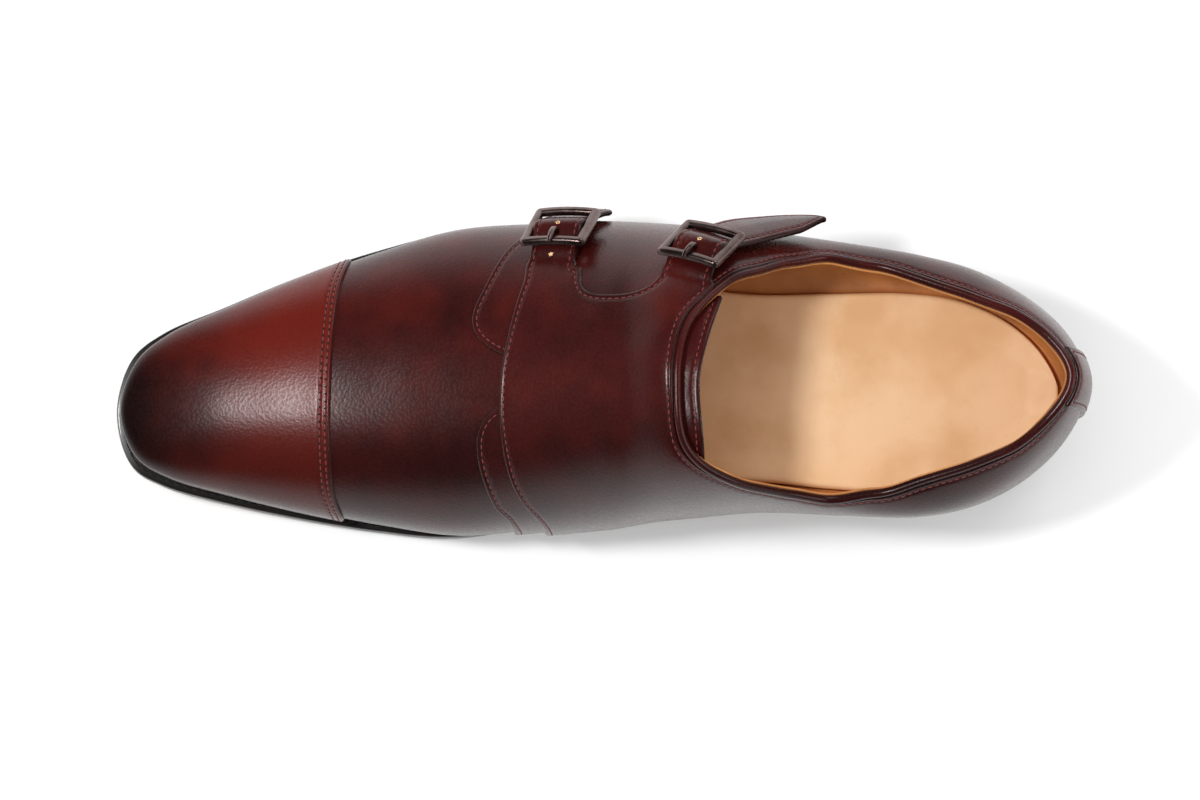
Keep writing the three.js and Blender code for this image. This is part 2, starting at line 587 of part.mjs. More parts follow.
// The flap lies over both facings and comes down to the first layer on the inner side behind them
const flapBase = (point) => {
  const back = THREE.MathUtils.smoothstep(point.x, lengthAt(FLAP_DROP_START), lengthAt(FLAP_DROP_END));
  const inner = THREE.MathUtils.smoothstep(-point.y, 0, FLAP_DROP_ACROSS * BALL_WIDTH);
  const behindCollar = THREE.MathUtils.smoothstep(point.x, lengthAt(FLAP_BRIDGE[1].share),
    lengthAt(HEEL_DROP_END));
  return GAP + LAYER * (1 - Math.max(back * inner, behindCollar));
};
const flapShell = layerShell(flapBase, (point) => flapBase(point) + OVERLAY_THICKNESS);
const flapRegion = region([...planEdge(FLAP_EDGE, 26), ...planEdge(FLAP_NOTCH, 16),
  ...FLAP_BRIDGE.map((row) => [lengthAt(row.share), row.across * BALL_WIDTH]),
  [lengthAt(HEEL_TURN_SHARE), heelY], [lengthAt(HEEL_SEAM_SHARE), heelY - GAP],
  [farX, heelY - GAP], [farX, -farY],
  [lengthAt(FLAP_EDGE[0].share), -farY]].reverse());
addPiece('strap_flap', flapShell.intersect(flapRegion), LEATHER, 0.35, 0);
const stripHalf = BACK_STRIP_WIDTH / 2;
const stripRegion = region([[lengthAt(BACK_STRIP_START), heelY - stripHalf], [farX, heelY - stripHalf],
  [farX, heelY + stripHalf], [lengthAt(BACK_STRIP_START), heelY + stripHalf]]);
addPiece('back_strip', layerShell(GAP + LAYER, 2 * LAYER).intersect(stripRegion), LEATHER, 0.35, 0);

// Tongue under the facings, showing behind the front of the collar
const tongueOuter = -LEATHER_WALL - GAP;
const tongueEdge = planEdge(TONGUE_REAR, 12);
const tongueRegion = region([[lengthAt(TONGUE_FRONT), TONGUE_REAR.at(-1).across * BALL_WIDTH],
  ...tongueEdge.slice().reverse(), [lengthAt(TONGUE_FRONT), TONGUE_REAR[0].across * BALL_WIDTH]]);
addPiece('tongue', lastForm(tongueOuter, 0)
  .subtract(lastForm(tongueOuter - TONGUE_THICKNESS, SOLE_THICKNESS)).intersect(tongueRegion),
LEATHER, 0.4, 0);

// Solid swept through rings of points, with flat ends or closed on itself
function sweep(rings, closed) {
  const count = rings[0].length;
  const points = rings.flat();
  const triangles = [];
  const at = (ring, i) => (ring % rings.length) * count + (i % count);
  for (let ring = 0; ring < rings.length - (closed ? 0 : 1); ring += 1) {
    for (let i = 0; i < count; i += 1) {
      triangles.push(at(ring, i), at(ring, i + 1), at(ring + 1, i));
      triangles.push(at(ring, i + 1), at(ring + 1, i + 1), at(ring + 1, i));
    }
  }
  if (!closed) {
    for (let i = 1; i < count - 1; i += 1) {
      triangles.push(at(0, 0), at(0, i + 1), at(0, i));
      triangles.push(at(rings.length - 1, 0), at(rings.length - 1, i), at(rings.length - 1, i + 1));
    }
  }
  return solidFromTriangles(points, triangles);
}

// Straps: flat bands that follow the outer side through the buckles
function strapFrame(rows, along) {
  const place = (t) => outerPlace(through(rows, 'place', t, 'along'), through(rows, 'girth', t, 'along'),
    through(rows, 'lift', t, 'along') * STRAP_THICKNESS);
  const here = place(along);
  const step = 0.01;
  const tangent = place(Math.min(along + step, 1)).point
    .sub(place(Math.max(along - step, 0)).point).normalize();
  const across = here.normal.clone().cross(tangent).normalize();
  return { point: here.point, tangent, across, normal: tangent.clone().cross(across).normalize() };
}
function bandSolid(rows, from, to, width, thickness, steps) {
  const corner = 0.25;
  const rings = Array.from({ length: steps + 1 }, (_, i) => {
    const along = THREE.MathUtils.lerp(from, to, i / steps);
    const frame = strapFrame(rows, along);
    const halfWidth = 0.5 * width * through(rows, 'wide', along, 'along');
    const halfThick = 0.5 * thickness;
    const outline = [[1, corner - 1], [1, 1 - corner], [1 - corner, 1], [corner - 1, 1],
      [-1, 1 - corner], [-1, corner - 1], [corner - 1, -1], [1 - corner, -1]];
    return outline.map(([a, n]) => {
      const wide = Math.abs(a) === 1 ? a * halfWidth : Math.sign(a) * (halfWidth - corner * halfThick);
      return frame.point.clone().addScaledVector(frame.across, wide)
        .addScaledVector(frame.normal, n * halfThick);
    });
  });
  return sweep(rings, false);
}
// Local axes on a strap: x across it, y back towards the flap, z out of the shoe
const turned = (geometry, frame) => {
  const basis = new THREE.Matrix4().makeBasis(frame.across, frame.tangent.clone().negate(), frame.normal);
  return geometry.applyMatrix4(basis.setPosition(frame.point));
};
const roundedOutline = (width, depth, corner) => {
  const shape = new THREE.Shape();
  const x = width / 2 - corner;
  const y = depth / 2 - corner;
  shape.absarc(x, y, corner, 0, Math.PI / 2);
  shape.absarc(-x, y, corner, Math.PI / 2, Math.PI);
  shape.absarc(-x, -y, corner, Math.PI, 1.5 * Math.PI);
  shape.absarc(x, -y, corner, 1.5 * Math.PI, 2 * Math.PI);
  return shape;
};
const STRAP_GUARD = STRAP_THICKNESS / 2 + GAP;
const FRAME_LOW = -STRAP_GUARD / 4;
const FRAME_HIGH = FRAME_LOW + BUCKLE_BAR;

// Frame of the buckle with its middle bar, which sits lower because the strap passes over it
function buckleSolid(seat) {
  const shape = roundedOutline(BUCKLE_WIDTH, BUCKLE_DEPTH, BUCKLE_CORNER);
  shape.holes.push(roundedOutline(BUCKLE_WIDTH - 2 * BUCKLE_BAR, BUCKLE_DEPTH - 2 * BUCKLE_BAR,
    BUCKLE_CORNER / 2));
  const ring = new THREE.ExtrudeGeometry(shape, { depth: BUCKLE_BAR, bevelEnabled: false, curveSegments: 4 });
  ring.translate(0, 0, FRAME_LOW);
  const barLow = -STRAP_GUARD - GAP - MIDDLE_BAR;
  const bar = new THREE.BoxGeometry(BUCKLE_WIDTH - BUCKLE_BAR, MIDDLE_BAR, MIDDLE_BAR);
  bar.translate(0, 0, barLow + MIDDLE_BAR / 2);
  const legs = [-1, 1].map((side) => new THREE.BoxGeometry(BUCKLE_BAR / 2, MIDDLE_BAR, FRAME_HIGH - barLow)
    .translate(side * (BUCKLE_WIDTH - BUCKLE_BAR) / 2, 0, (FRAME_HIGH + barLow) / 2));
  return [bar, ...legs].reduce((solid, piece) => solid.add(fromGeometry(turned(piece, seat))),
    fromGeometry(turned(ring, seat)));
}

// Prong: rises through the strap's hole and lies over the near bar
function prongSolid(seat) {
  const radius = PRONG_DIAMETER / 2;
  const over = FRAME_HIGH + GAP + radius;
  const near = BUCKLE_DEPTH / 2;
  const path = new THREE.CatmullRomCurve3([
    new THREE.Vector3(0, 0, -STRAP_THICKNESS / 2),
    new THREE.Vector3(0, 0, STRAP_THICKNESS / 2),
    new THREE.Vector3(0, near / 4, over),
    new THREE.Vector3(0, near - BUCKLE_BAR, over),
    new THREE.Vector3(0, near, over),
  ], false, 'centripetal');
  const steps = 12;
  const sides = 8;
  const rings = Array.from({ length: steps + 1 }, (_, i) => {
    const centre = path.getPointAt(i / steps);
    const tangent = path.getTangentAt(i / steps);
    const up = new THREE.Vector3(1, 0, 0).cross(tangent);
    return Array.from({ length: sides }, (__, n) => {
      const turn = (n / sides) * 2 * Math.PI;
      return centre.clone().add(new THREE.Vector3(-radius * Math.sin(turn), 0, 0))
        .addScaledVector(up, -radius * Math.cos(turn));
    });
  });
  const local = new THREE.Matrix4().makeBasis(seat.across, seat.tangent.clone().negate(), seat.normal)
    .setPosition(seat.point);
  return sweep(rings.map((ring) => ring.map((p) => p.applyMatrix4(local))), false);
}

// Strap, buckle, prong, and the elastic that ties the buckle's middle bar to the quarter
function fastening(place, rows, buckleAlong, elastic) {
  const seat = strapFrame(rows, buckleAlong);
  const hole = new THREE.CylinderGeometry(PRONG_HOLE / 2, PRONG_HOLE / 2, 2 * STRAP_THICKNESS, 12);
  hole.rotateX(Math.PI / 2);
  const strap = bandSolid(rows, 0, 1, STRAP_WIDTH, STRAP_THICKNESS, 24);
  addPiece(`${place}_strap`, strap.subtract(fromGeometry(turned(hole, seat))), LEATHER, 0.35, 0);
  addPiece(`${place}_buckle`, buckleSolid(seat), GUNMETAL, 0.3, 0.9);
  addPiece(`${place}_prong`, prongSolid(seat), GUNMETAL, 0.3, 0.9);
  const low = (LAYER + GAP + ELASTIC_THICKNESS / 2) / STRAP_THICKNESS;
  const flatRows = rows.map((row) => ({ ...row, lift: low, wide: 1 }));
  addPiece(`${place}_elastic`, bandSolid(flatRows, elastic.start, elastic.end, ELASTIC_WIDTH,
    ELASTIC_THICKNESS, 6), EDGE_BLACK, 0.9, 0);
}
fastening('front', FRONT_STRAP, FRONT_BUCKLE_ALONG, FRONT_ELASTIC);
fastening('rear', REAR_STRAP, REAR_BUCKLE_ALONG, REAR_ELASTIC);

// Collar binding: a rolled edge that follows the topline all the way round
function toplinePoint(k) {
  let low = LOW_LEVELS;
  let high = levelCount;
  for (let i = 0; i < 30; i += 1) {
    const middle = (low + high) / 2;
    const point = lastPoint(k, middle);
    if (point.z < topAt(point.x)) low = middle;
    else high = middle;
  }
  return lastPoint(k, (low + high) / 2);
}
const reachesTopline = (k) => {
  const ridge = lastPoint(k, levelCount);
  return ridge.z > topAt(ridge.x) + GAP && ridge.x > lengthAt(TOPLINE[0].share);
};
const bindingPoints = [];
const apexSteps = 200;
const apexReach = TOPLINE[2].share - TOPLINE[0].share;
const apexX = Array.from({ length: apexSteps },
  (_, i) => lengthAt(TOPLINE[0].share + (apexReach * i) / apexSteps)).find((x) => ridgeAt(x) > topAt(x));
const apexY = through(SECTIONS, 'axis', apexX / LAST_LENGTH) * BALL_WIDTH;
bindingPoints.push(new THREE.Vector3(apexX, apexY, topAt(apexX)));
for (let k = 0.5; k < ribCount; k += 1) {
  if (reachesTopline(k)) bindingPoints.push(toplinePoint(k));
}
const bindingCurve = new THREE.CatmullRomCurve3(bindingPoints, true, 'centripetal');
const bindingSteps = 56;
const bindingSides = 6;
const bindingRadius = PIPING_DIAMETER / 2;
const bindingRings = Array.from({ length: bindingSteps }, (_, i) => {
  const centre = bindingCurve.getPointAt(i / bindingSteps);
  const tangent = bindingCurve.getTangentAt(i / bindingSteps);
  const up = new THREE.Vector3(topAt(centre.x - 1) - topAt(centre.x + 1), 0, 2).normalize();
  const out = tangent.clone().cross(up).normalize();
  const lifted = centre.clone().addScaledVector(up, bindingRadius + 2 * GAP);
  return Array.from({ length: bindingSides }, (__, n) => {
    const turn = (n / bindingSides) * 2 * Math.PI;
    return lifted.clone().addScaledVector(out, bindingRadius * Math.cos(turn))
      .addScaledVector(up, -bindingRadius * Math.sin(turn));
  });
});
addPiece('collar_binding', sweep(bindingRings, true), LEATHER, 0.3, 0);

// The origin is the middle of the whole shoe's box, on the floor
const box = new THREE.Box3().setFromObject(group);
const middle = box.getCenter(new THREE.Vector3());
group.position.set(-middle.x, -middle.y, -box.min.z);

export default group;
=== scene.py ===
import math

import bmesh
import bpy
import numpy as np
from bpy.props import FloatProperty, FloatVectorProperty, IntProperty, PointerProperty
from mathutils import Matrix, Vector


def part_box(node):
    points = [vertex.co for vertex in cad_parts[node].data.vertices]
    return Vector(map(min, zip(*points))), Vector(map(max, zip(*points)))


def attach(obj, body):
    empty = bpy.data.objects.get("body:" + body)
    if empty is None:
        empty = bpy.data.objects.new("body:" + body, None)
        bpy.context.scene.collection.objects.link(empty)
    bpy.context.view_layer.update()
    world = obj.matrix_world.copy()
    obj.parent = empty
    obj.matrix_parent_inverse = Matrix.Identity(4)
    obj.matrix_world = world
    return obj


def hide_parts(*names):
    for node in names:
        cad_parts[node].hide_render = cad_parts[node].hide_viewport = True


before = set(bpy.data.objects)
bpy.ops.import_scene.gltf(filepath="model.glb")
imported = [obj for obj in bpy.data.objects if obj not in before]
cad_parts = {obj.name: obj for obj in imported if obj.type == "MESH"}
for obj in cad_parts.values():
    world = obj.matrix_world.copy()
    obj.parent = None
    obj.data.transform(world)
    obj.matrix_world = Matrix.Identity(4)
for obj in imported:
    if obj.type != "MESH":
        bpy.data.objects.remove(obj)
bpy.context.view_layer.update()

# Dress shoe with a cap toe and two buckled straps. Sizes in this file are millimetres on the
# shoe's last: x from the toe to the heel, y to the outer side, z up. to_frame() moves them into
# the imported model's frame, which is in metres.

bl_info = {
    "name": "Double strap shoe",
    "version": (1, 0, 0),
    "blender": (4, 5, 0),
    "location": "3D View > Sidebar > Shoe",
    "description": "Builds the leather, sole, buckles and stitching of a strapped dress shoe",
    "category": "Add Mesh",
}


def srgb(code):
    """Linear RGB of a hex colour."""
    parts = [int(code[i:i + 2], 16) / 255 for i in (0, 2, 4)]
    return tuple(c / 12.92 if c <= 0.04045 else ((c + 0.055) / 1.055) ** 2.4 for c in parts)


# The last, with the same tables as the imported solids
LAST_LENGTH = 307.0
BALL_WIDTH = 99.0
INSTEP_HEIGHT = 98.0
SEAT_HEIGHT = 22.5
SHANK_HEIGHT = 19.4
TOE_SPRING = 9.5
SOLE_THICKNESS = 5.0
WELT_THICKNESS = 2.8
INSOLE_THICKNESS = 3.0
WALL = 2.0
GAP = 0.3
WELT_MARGIN = 4.0
WAIST_MARGIN = 2.0
WAIST_START = 0.36
WAIST_FULL = 0.56
HEEL_LENGTH = 76.0
HEEL_LIFTS = 3
HEEL_OVERHANG = 3.0
RUBBER_LIFT = 6.0
TOE_SETBACK = 3.0
TOE_AXIS = -0.028
HEEL_AXIS = 0.026
SEAT_START = 0.76
# The sections' tops are rounded by TOP_BOX. They lean back over the toe and forward over the heel,
# by up to a fan's length, within FAN_REACH of the last's length from each end.
TOP_BOX = 2.1
TOE_FAN = 34.0
HEEL_FAN = 38.0
FAN_REACH = 0.3
HEEL_Y = HEEL_AXIS * BALL_WIDTH

# share, outer, inner, sole outer, sole inner
PLAN = np.array([
    (0.016, 0.125, 0.170, 0.150, 0.200), (0.049, 0.212, 0.232, 0.235, 0.262),
    (0.110, 0.300, 0.286, 0.318, 0.314), (0.190, 0.406, 0.344, 0.424, 0.364),
    (0.270, 0.494, 0.392, 0.508, 0.403), (0.350, 0.562, 0.426, 0.566, 0.424),
    (0.430, 0.577, 0.409, 0.556, 0.390), (0.510, 0.568, 0.389, 0.492, 0.335),
    (0.590, 0.547, 0.370, 0.425, 0.298), (0.670, 0.522, 0.352, 0.386, 0.296),
    (0.750, 0.484, 0.364, 0.384, 0.322), (0.830, 0.440, 0.372, 0.384, 0.334),
    (0.890, 0.386, 0.336, 0.356, 0.306), (0.945, 0.286, 0.240, 0.276, 0.222),
    (0.982, 0.168, 0.118, 0.164, 0.112)])
# share, toe rise, heel rise
BOTTOM = np.array([
    (0.00, 1.00, 0.00), (0.10, 0.53, 0.00), (0.20, 0.13, 0.00), (0.27, 0.00, 0.00),
    (0.37, 0.00, 0.00), (0.46, 0.00, 0.11), (0.55, 0.00, 0.39), (0.65, 0.00, 0.74),
    (0.72, 0.00, 0.94), (0.76, 0.00, 1.00), (1.00, 0.00, 1.00)])
# share, ridge, axis, belly, outer box, inner box
SECTIONS = np.array([
    (0.00, 0.300, -0.028, 0.090, 2.5, 2.5), (0.05, 0.348, -0.024, 0.095, 2.6, 2.6),
    (0.10, 0.388, -0.018, 0.100, 2.6, 2.6), (0.16, 0.430, -0.008, 0.105, 2.5, 2.5),
    (0.22, 0.472, 0.002, 0.110, 2.3, 2.5), (0.30, 0.548, 0.014, 0.120, 2.1, 2.5),
    (0.38, 0.648, 0.020, 0.130, 2.0, 2.6), (0.46, 0.770, 0.024, 0.150, 1.9, 2.8),
    (0.53, 0.890, 0.028, 0.160, 1.8, 3.2), (0.58, 0.992, 0.030, 0.160, 1.75, 3.8),
    (0.63, 1.010, 0.030, 0.160, 1.8, 5.0), (0.67, 0.930, 0.028, 0.160, 1.9, 7.0),
    (0.72, 0.820, 0.026, 0.170, 2.0, 6.0), (0.78, 0.760, 0.026, 0.190, 2.0, 2.6),
    (0.84, 0.800, 0.026, 0.200, 2.0, 1.8), (0.90, 0.890, 0.026, 0.200, 2.1, 2.0),
    (0.96, 1.040, 0.026, 0.200, 2.8, 2.8), (1.00, 1.160, 0.026, 0.200, 3.2, 3.2)])
# share, height
TOPLINE = np.array([
    (0.574, 1.010), (0.587, 0.965), (0.605, 0.928), (0.630, 0.880), (0.660, 0.800),
    (0.700, 0.694), (0.745, 0.624), (0.785, 0.628), (0.830, 0.672), (0.875, 0.730),
    (0.920, 0.802), (0.960, 0.885), (1.020, 0.940)])

# Edges of the leather parts in plan: share along the last, across as a share of BALL_WIDTH
CAP_EDGE = ((0.262, 0.620), (0.244, 0.450), (0.235, 0.344), (0.230, 0.189), (0.227, -0.033),
            (0.227, -0.177), (0.230, -0.304), (0.242, -0.400), (0.256, -0.520))
OUTER_QUARTER_EDGE = (
    (0.470, 0.720), (0.436, 0.547), (0.406, 0.450), (0.386, 0.338), (0.374, 0.253),
    (0.375, 0.196), (0.386, 0.150), (0.410, 0.108), (0.450, 0.090), (0.540, 0.085),
    (0.640, 0.080))
INNER_FACING_EDGE = (
    (0.500, -0.050), (0.430, -0.046), (0.402, -0.052), (0.391, -0.070), (0.382, -0.108),
    (0.378, -0.160), (0.381, -0.240), (0.394, -0.343), (0.410, -0.392), (0.436, -0.500))
FLAP_EDGE = ((0.470, -0.520), (0.446, -0.400), (0.424, -0.328), (0.411, -0.245), (0.404, -0.120),
             (0.404, 0.020), (0.409, 0.130), (0.421, 0.280), (0.434, 0.392))
FLAP_NOTCH = ((0.487, 0.380), (0.487, 0.334), (0.493, 0.303), (0.508, 0.288), (0.530, 0.286),
              (0.550, 0.298), (0.566, 0.322))
TONGUE_REAR = ((0.628, 0.300), (0.612, 0.150), (0.603, 0.010), (0.605, -0.130), (0.608, -0.270))
# The flap's outline crosses the open collar here, where the topline cuts it off
FLAP_BRIDGE = ((0.612, 0.300), (0.640, 0.300))
HEEL_TURN_SHARE = 0.66
HEEL_SEAM_SHARE = 0.70
# Towards the heel the flap comes down from the facing onto the vamp
FLAP_DROP_START = 0.51
FLAP_DROP_END = 0.57
FLAP_DROP_ACROSS = 0.15
HEEL_DROP_START = 0.64
HEEL_DROP_END = 0.74
INNER_FACING_REAR = 0.5
TONGUE_FRONT = 0.42
TONGUE_THICKNESS = 1.5
BACK_STRIP_START = 0.9
BACK_STRIP_WIDTH = 17.0

# How far the inner side's outlines slant back on their way down to the sole
FACING_SLANT = 6.0
FLAP_SLANT = 4.0
# The panels' and straps' rounded edges, the dips along their stitches, and how far below the
# topline they end
EDGE_ROUND = 0.8
STRAP_ROUND = 1.0
STITCH_DIP = 0.2
STITCH_DIP_WIDTH = 0.55
STITCH_DIP_REACH = 0.6
PANEL_DROP = 0.2
# How far a panel beds into the leather under it
PANEL_BED = 0.05
# Rows of stitches, in mm from each part's edge
CAP_ROWS = (1.5, 3.3)
QUARTER_ROW = 1.9
FACING_ROW = 2.0
BACK_STRIP_ROW = 1.8
FLAP_ROW = 1.9
TONGUE_ROW = 2.2
# The vamp's leather; how far the lining stands above the topline and how deep its face lies
VAMP_THICKNESS = 1.0
VAMP_ROUND = 0.5
LINING_RISE = 1.1
LINING_FACE = 1.05
LINING_ROUND = 0.3
# Rises of a sheet that goes over the whole last, down to the skirt on both sides
FULL_RISE = (-1.3, 3.3)

# Straps: along, place, girth, lift in steps of STRAP_PACE, width share. STRAP_PACE is the packed
# strap's thickness.
STRAP_WIDTH = 16.0
STRAP_PACE = 2.2
STRAP_FILLET = 4.0
STRAP_DOME = 0.25
FRONT_STRAP = np.array([
    (0.00, 0.4560, 0.522, 1.32, 1.00), (0.16, 0.4600, 0.470, 1.45, 1.00),
    (0.36, 0.4665, 0.375, 2.50, 1.00), (0.56, 0.4735, 0.270, 1.90, 1.00),
    (0.76, 0.4830, 0.170, 1.75, 1.00), (0.93, 0.4960, 0.080, 1.75, 0.90),
    (1.00, 0.5030, 0.045, 1.80, 0.50)])
REAR_STRAP = np.array([
    (0.00, 0.5890, 0.630, 1.32, 1.00), (0.11, 0.5950, 0.580, 1.45, 1.00),
    (0.25, 0.6080, 0.480, 2.50, 1.00), (0.39, 0.6260, 0.385, 1.90, 1.00),
    (0.60, 0.6570, 0.290, 2.10, 1.00), (0.82, 0.6960, 0.215, 2.90, 0.86),
    (0.94, 0.7180, 0.185, 3.50, 0.50), (1.00, 0.7290, 0.175, 3.80, 0.14)])
# Each strap: name, table, along at its buckle, and along where it has left the flap
STRAPS = (("front", FRONT_STRAP, 0.36, 0.16), ("rear", REAR_STRAP, 0.25, 0.11))
# Spare holes, in mm from the buckle's middle towards the strap's tip
SPARE_HOLES = {"front": (-0.8, -11.6), "rear": (-0.8,)}
# A hole's lip, which stands up round a hollow, as (radius, height), and its height on the strap
HOLE_PROFILE = ((0.72, -0.25), (0.72, 0.02), (0.5, 0.1), (0.3, -0.12))
HOLE_LIFT = 0.22
# Height of each strap's hump inside its buckle, and how far along the strap it reaches
HUMP = 1.9
HUMP_REACH = 5.0

# Buckles: a frame, bars whose section is drawn at this width and height, and a lower middle bar
BUCKLE_WIDTH = 21.5
BUCKLE_DEPTH = 20.0
BUCKLE_CORNER = 1.6
BUCKLE_ARCH = 0.8
SECTION_WIDTH = 2.4
SECTION_HEIGHT = 2.4
FRAME_LOW = -(STRAP_PACE / 2 + GAP) / 4
MIDDLE_BAR_RADIUS = 0.9
# Each elastic: how far it runs on along its strap's table, and how far it swings aside in mm
ELASTICS = {"front": (0.34, 0.0), "rear": (0.24, 5.5)}
# It starts higher over the last than it ends, by the drop
ELASTIC_END_LIFT = 1.6
ELASTIC_DROP = 2.6
ELASTIC_HALF_WIDTH = 5.0
ELASTIC_HALF_THICKNESS = 0.45
BRAID_RELIEF = 0.16


# Curves and the last's surface

def through(nodes, values, place):
    """Smooth curve through the rows of a table, without overshoot."""
    slope = np.diff(values) / np.diff(nodes)
    before, after = slope[:-1], slope[1:]
    both = before * after
    total = np.where(both > 0, before + after, 1.0)
    tangent = np.concatenate([slope[:1], np.where(both > 0, 2 * both / total, 0.0), slope[-1:]])
    at = np.clip(np.asarray(place, float), nodes[0], nodes[-1])
    k = np.clip(np.searchsorted(nodes, at) - 1, 0, len(nodes) - 2)
    span = nodes[k + 1] - nodes[k]
    t = (at - nodes[k]) / span
    return ((2 * t ** 3 - 3 * t ** 2 + 1) * values[k]
            + (t ** 3 - 2 * t ** 2 + t) * span * tangent[k]
            + (3 * t ** 2 - 2 * t ** 3) * values[k + 1]
            + (t ** 3 - t ** 2) * span * tangent[k + 1])


def smooth(value, low, high):
    """0 below low, 1 above high and a soft step between."""
    t = np.clip((value - low) / (high - low), 0, 1)
    return t * t * (3 - 2 * t)


def unit(vectors):
    """The vectors at length 1."""
    length = np.linalg.norm(vectors, axis=-1, keepdims=True)
    return vectors / np.maximum(length, 1e-12)


def closed_curve(points, place):
    """Centripetal curve through a closed ring of points, at shares of its run."""
    count = len(points)
    at = (np.asarray(place, float) % 1.0) * count
    k = np.floor(at).astype(int)
    t = (at - k)[:, None]
    p0, p1, p2, p3 = (points[(k + j) % count] for j in (-1, 0, 1, 2))
    d0, d1, d2 = (np.sqrt(np.linalg.norm(b - a, axis=1, keepdims=True))
                  for a, b in ((p0, p1), (p1, p2), (p2, p3)))
    start = ((p1 - p0) / d0 - (p2 - p0) / (d0 + d1) + (p2 - p1) / d1) * d1
    end = ((p2 - p1) / d1 - (p3 - p1) / (d1 + d2) + (p3 - p2) / d2) * d1
    return (p1 + start * t + (3 * (p2 - p1) - 2 * start - end) * t ** 2
            + (2 * (p1 - p2) + start + end) * t ** 3)


def plan_ring(outer, inner, toe_x, heel_x):
    """Ring of plan points: toe, outer side, heel and inner side."""
    x = toe_x + (heel_x - toe_x) * PLAN[:, 0]
    side_out = np.stack([x, PLAN[:, outer] * BALL_WIDTH], 1)
    side_in = np.stack([x, -PLAN[:, inner] * BALL_WIDTH], 1)[::-1]
    return np.concatenate([[(toe_x, TOE_AXIS * BALL_WIDTH)], side_out, [(heel_x, HEEL_Y)], side_in])


BELLY_RING = plan_ring(1, 2, TOE_SETBACK, LAST_LENGTH)
SOLE_RING = plan_ring(3, 4, 0.0, LAST_LENGTH - HEEL_OVERHANG)


def bottom_at(x):
    """Height of the outsole's underside."""
    share = x / LAST_LENGTH
    seat = np.maximum(0, share - SEAT_START) / (1 - SEAT_START) * (SEAT_HEIGHT - SHANK_HEIGHT)
    return (through(BOTTOM[:, 0], BOTTOM[:, 1], share) * TOE_SPRING
            + through(BOTTOM[:, 0], BOTTOM[:, 2], share) * SHANK_HEIGHT + seat)


def seat_at(x):
    """Height of the insole's underside, on top of the welt."""
    return bottom_at(x) + SOLE_THICKNESS + WELT_THICKNESS + 2 * GAP


def section(column, share):
    """One column of the sections' table at shares of the length."""
    return through(SECTIONS[:, 0], SECTIONS[:, column], share)


def top_at(x):
    """Height of the topline."""
    return through(TOPLINE[:, 0], TOPLINE[:, 1], x / LAST_LENGTH) * INSTEP_HEIGHT


def sole_edge(place, inset):
    """Points of the sole's outline, moved in by inset."""
    nudge = 1e-4
    run = closed_curve(SOLE_RING, place + nudge) - closed_curve(SOLE_RING, place - nudge)
    inward = unit(np.stack([run[:, 1], -run[:, 0]], 1))
    return closed_curve(SOLE_RING, place) + inward * np.reshape(inset, (-1, 1))


def margin_at(x):
    """How far the sole stands out round the foot."""
    return (WELT_MARGIN + (WAIST_MARGIN - WELT_MARGIN)
            * smooth(x / LAST_LENGTH, WAIST_START, WAIST_FULL))


# Length of the skirt below the foot for one step of rise
SKIRT = 10.0


def last_point(along, rise):
    """Point of the last. along is 0 at the toe and 1 at the heel; rise is -1 at the outer foot,
    0 at the widest line, 1 on the ridge, and runs on over it to 3 at the inner foot. Below the
    foot a skirt hangs straight down."""
    inner = rise > 1
    place = np.where(inner, 1 - along / 2, along / 2)
    level = np.where(inner, 2 - rise, rise)
    belly = closed_curve(BELLY_RING, place)
    other = closed_curve(BELLY_RING, 1 - place)
    sole_x = closed_curve(SOLE_RING, place)[:, 0]
    foot = sole_edge(place, margin_at(sole_x))
    foot_z = seat_at(foot[:, 0])
    share = belly[:, 0] / LAST_LENGTH
    belly_z = foot_z + section(3, share) * INSTEP_HEIGHT

    turn = (np.clip(level, -1, 0) + 1) * math.pi / 2
    low = foot + (belly - foot) * np.sin(turn)[:, None]
    low_z = (foot_z + (belly_z - foot_z) * (1 - np.cos(turn))
             - np.maximum(0, -1 - level) * SKIRT)

    x = 0.5 * (belly[:, 0] + other[:, 0])
    reach = FAN_REACH * LAST_LENGTH
    ridge_x = (x + np.maximum(0, 1 - (x - TOE_SETBACK) / reach) ** 2 * TOE_FAN
               - np.maximum(0, 1 - (LAST_LENGTH - x) / reach) ** 2 * HEEL_FAN)
    ridge = np.stack([ridge_x, section(2, ridge_x / LAST_LENGTH) * BALL_WIDTH], 1)
    inward = np.cos(np.clip(level, 0, 1) * math.pi / 2)
    box = np.where(inner, section(5, share), section(4, share))
    high = ridge + (belly - ridge) * inward[:, None]
    climb = np.maximum(0, 1 - inward ** box) ** (1 / TOP_BOX)
    high_z = belly_z + (section(1, high[:, 0] / LAST_LENGTH) * INSTEP_HEIGHT - belly_z) * climb

    upper = (level > 0)[:, None]
    return np.where(upper, np.column_stack([high, high_z]), np.column_stack([low, low_z]))


NUDGE = 1e-3


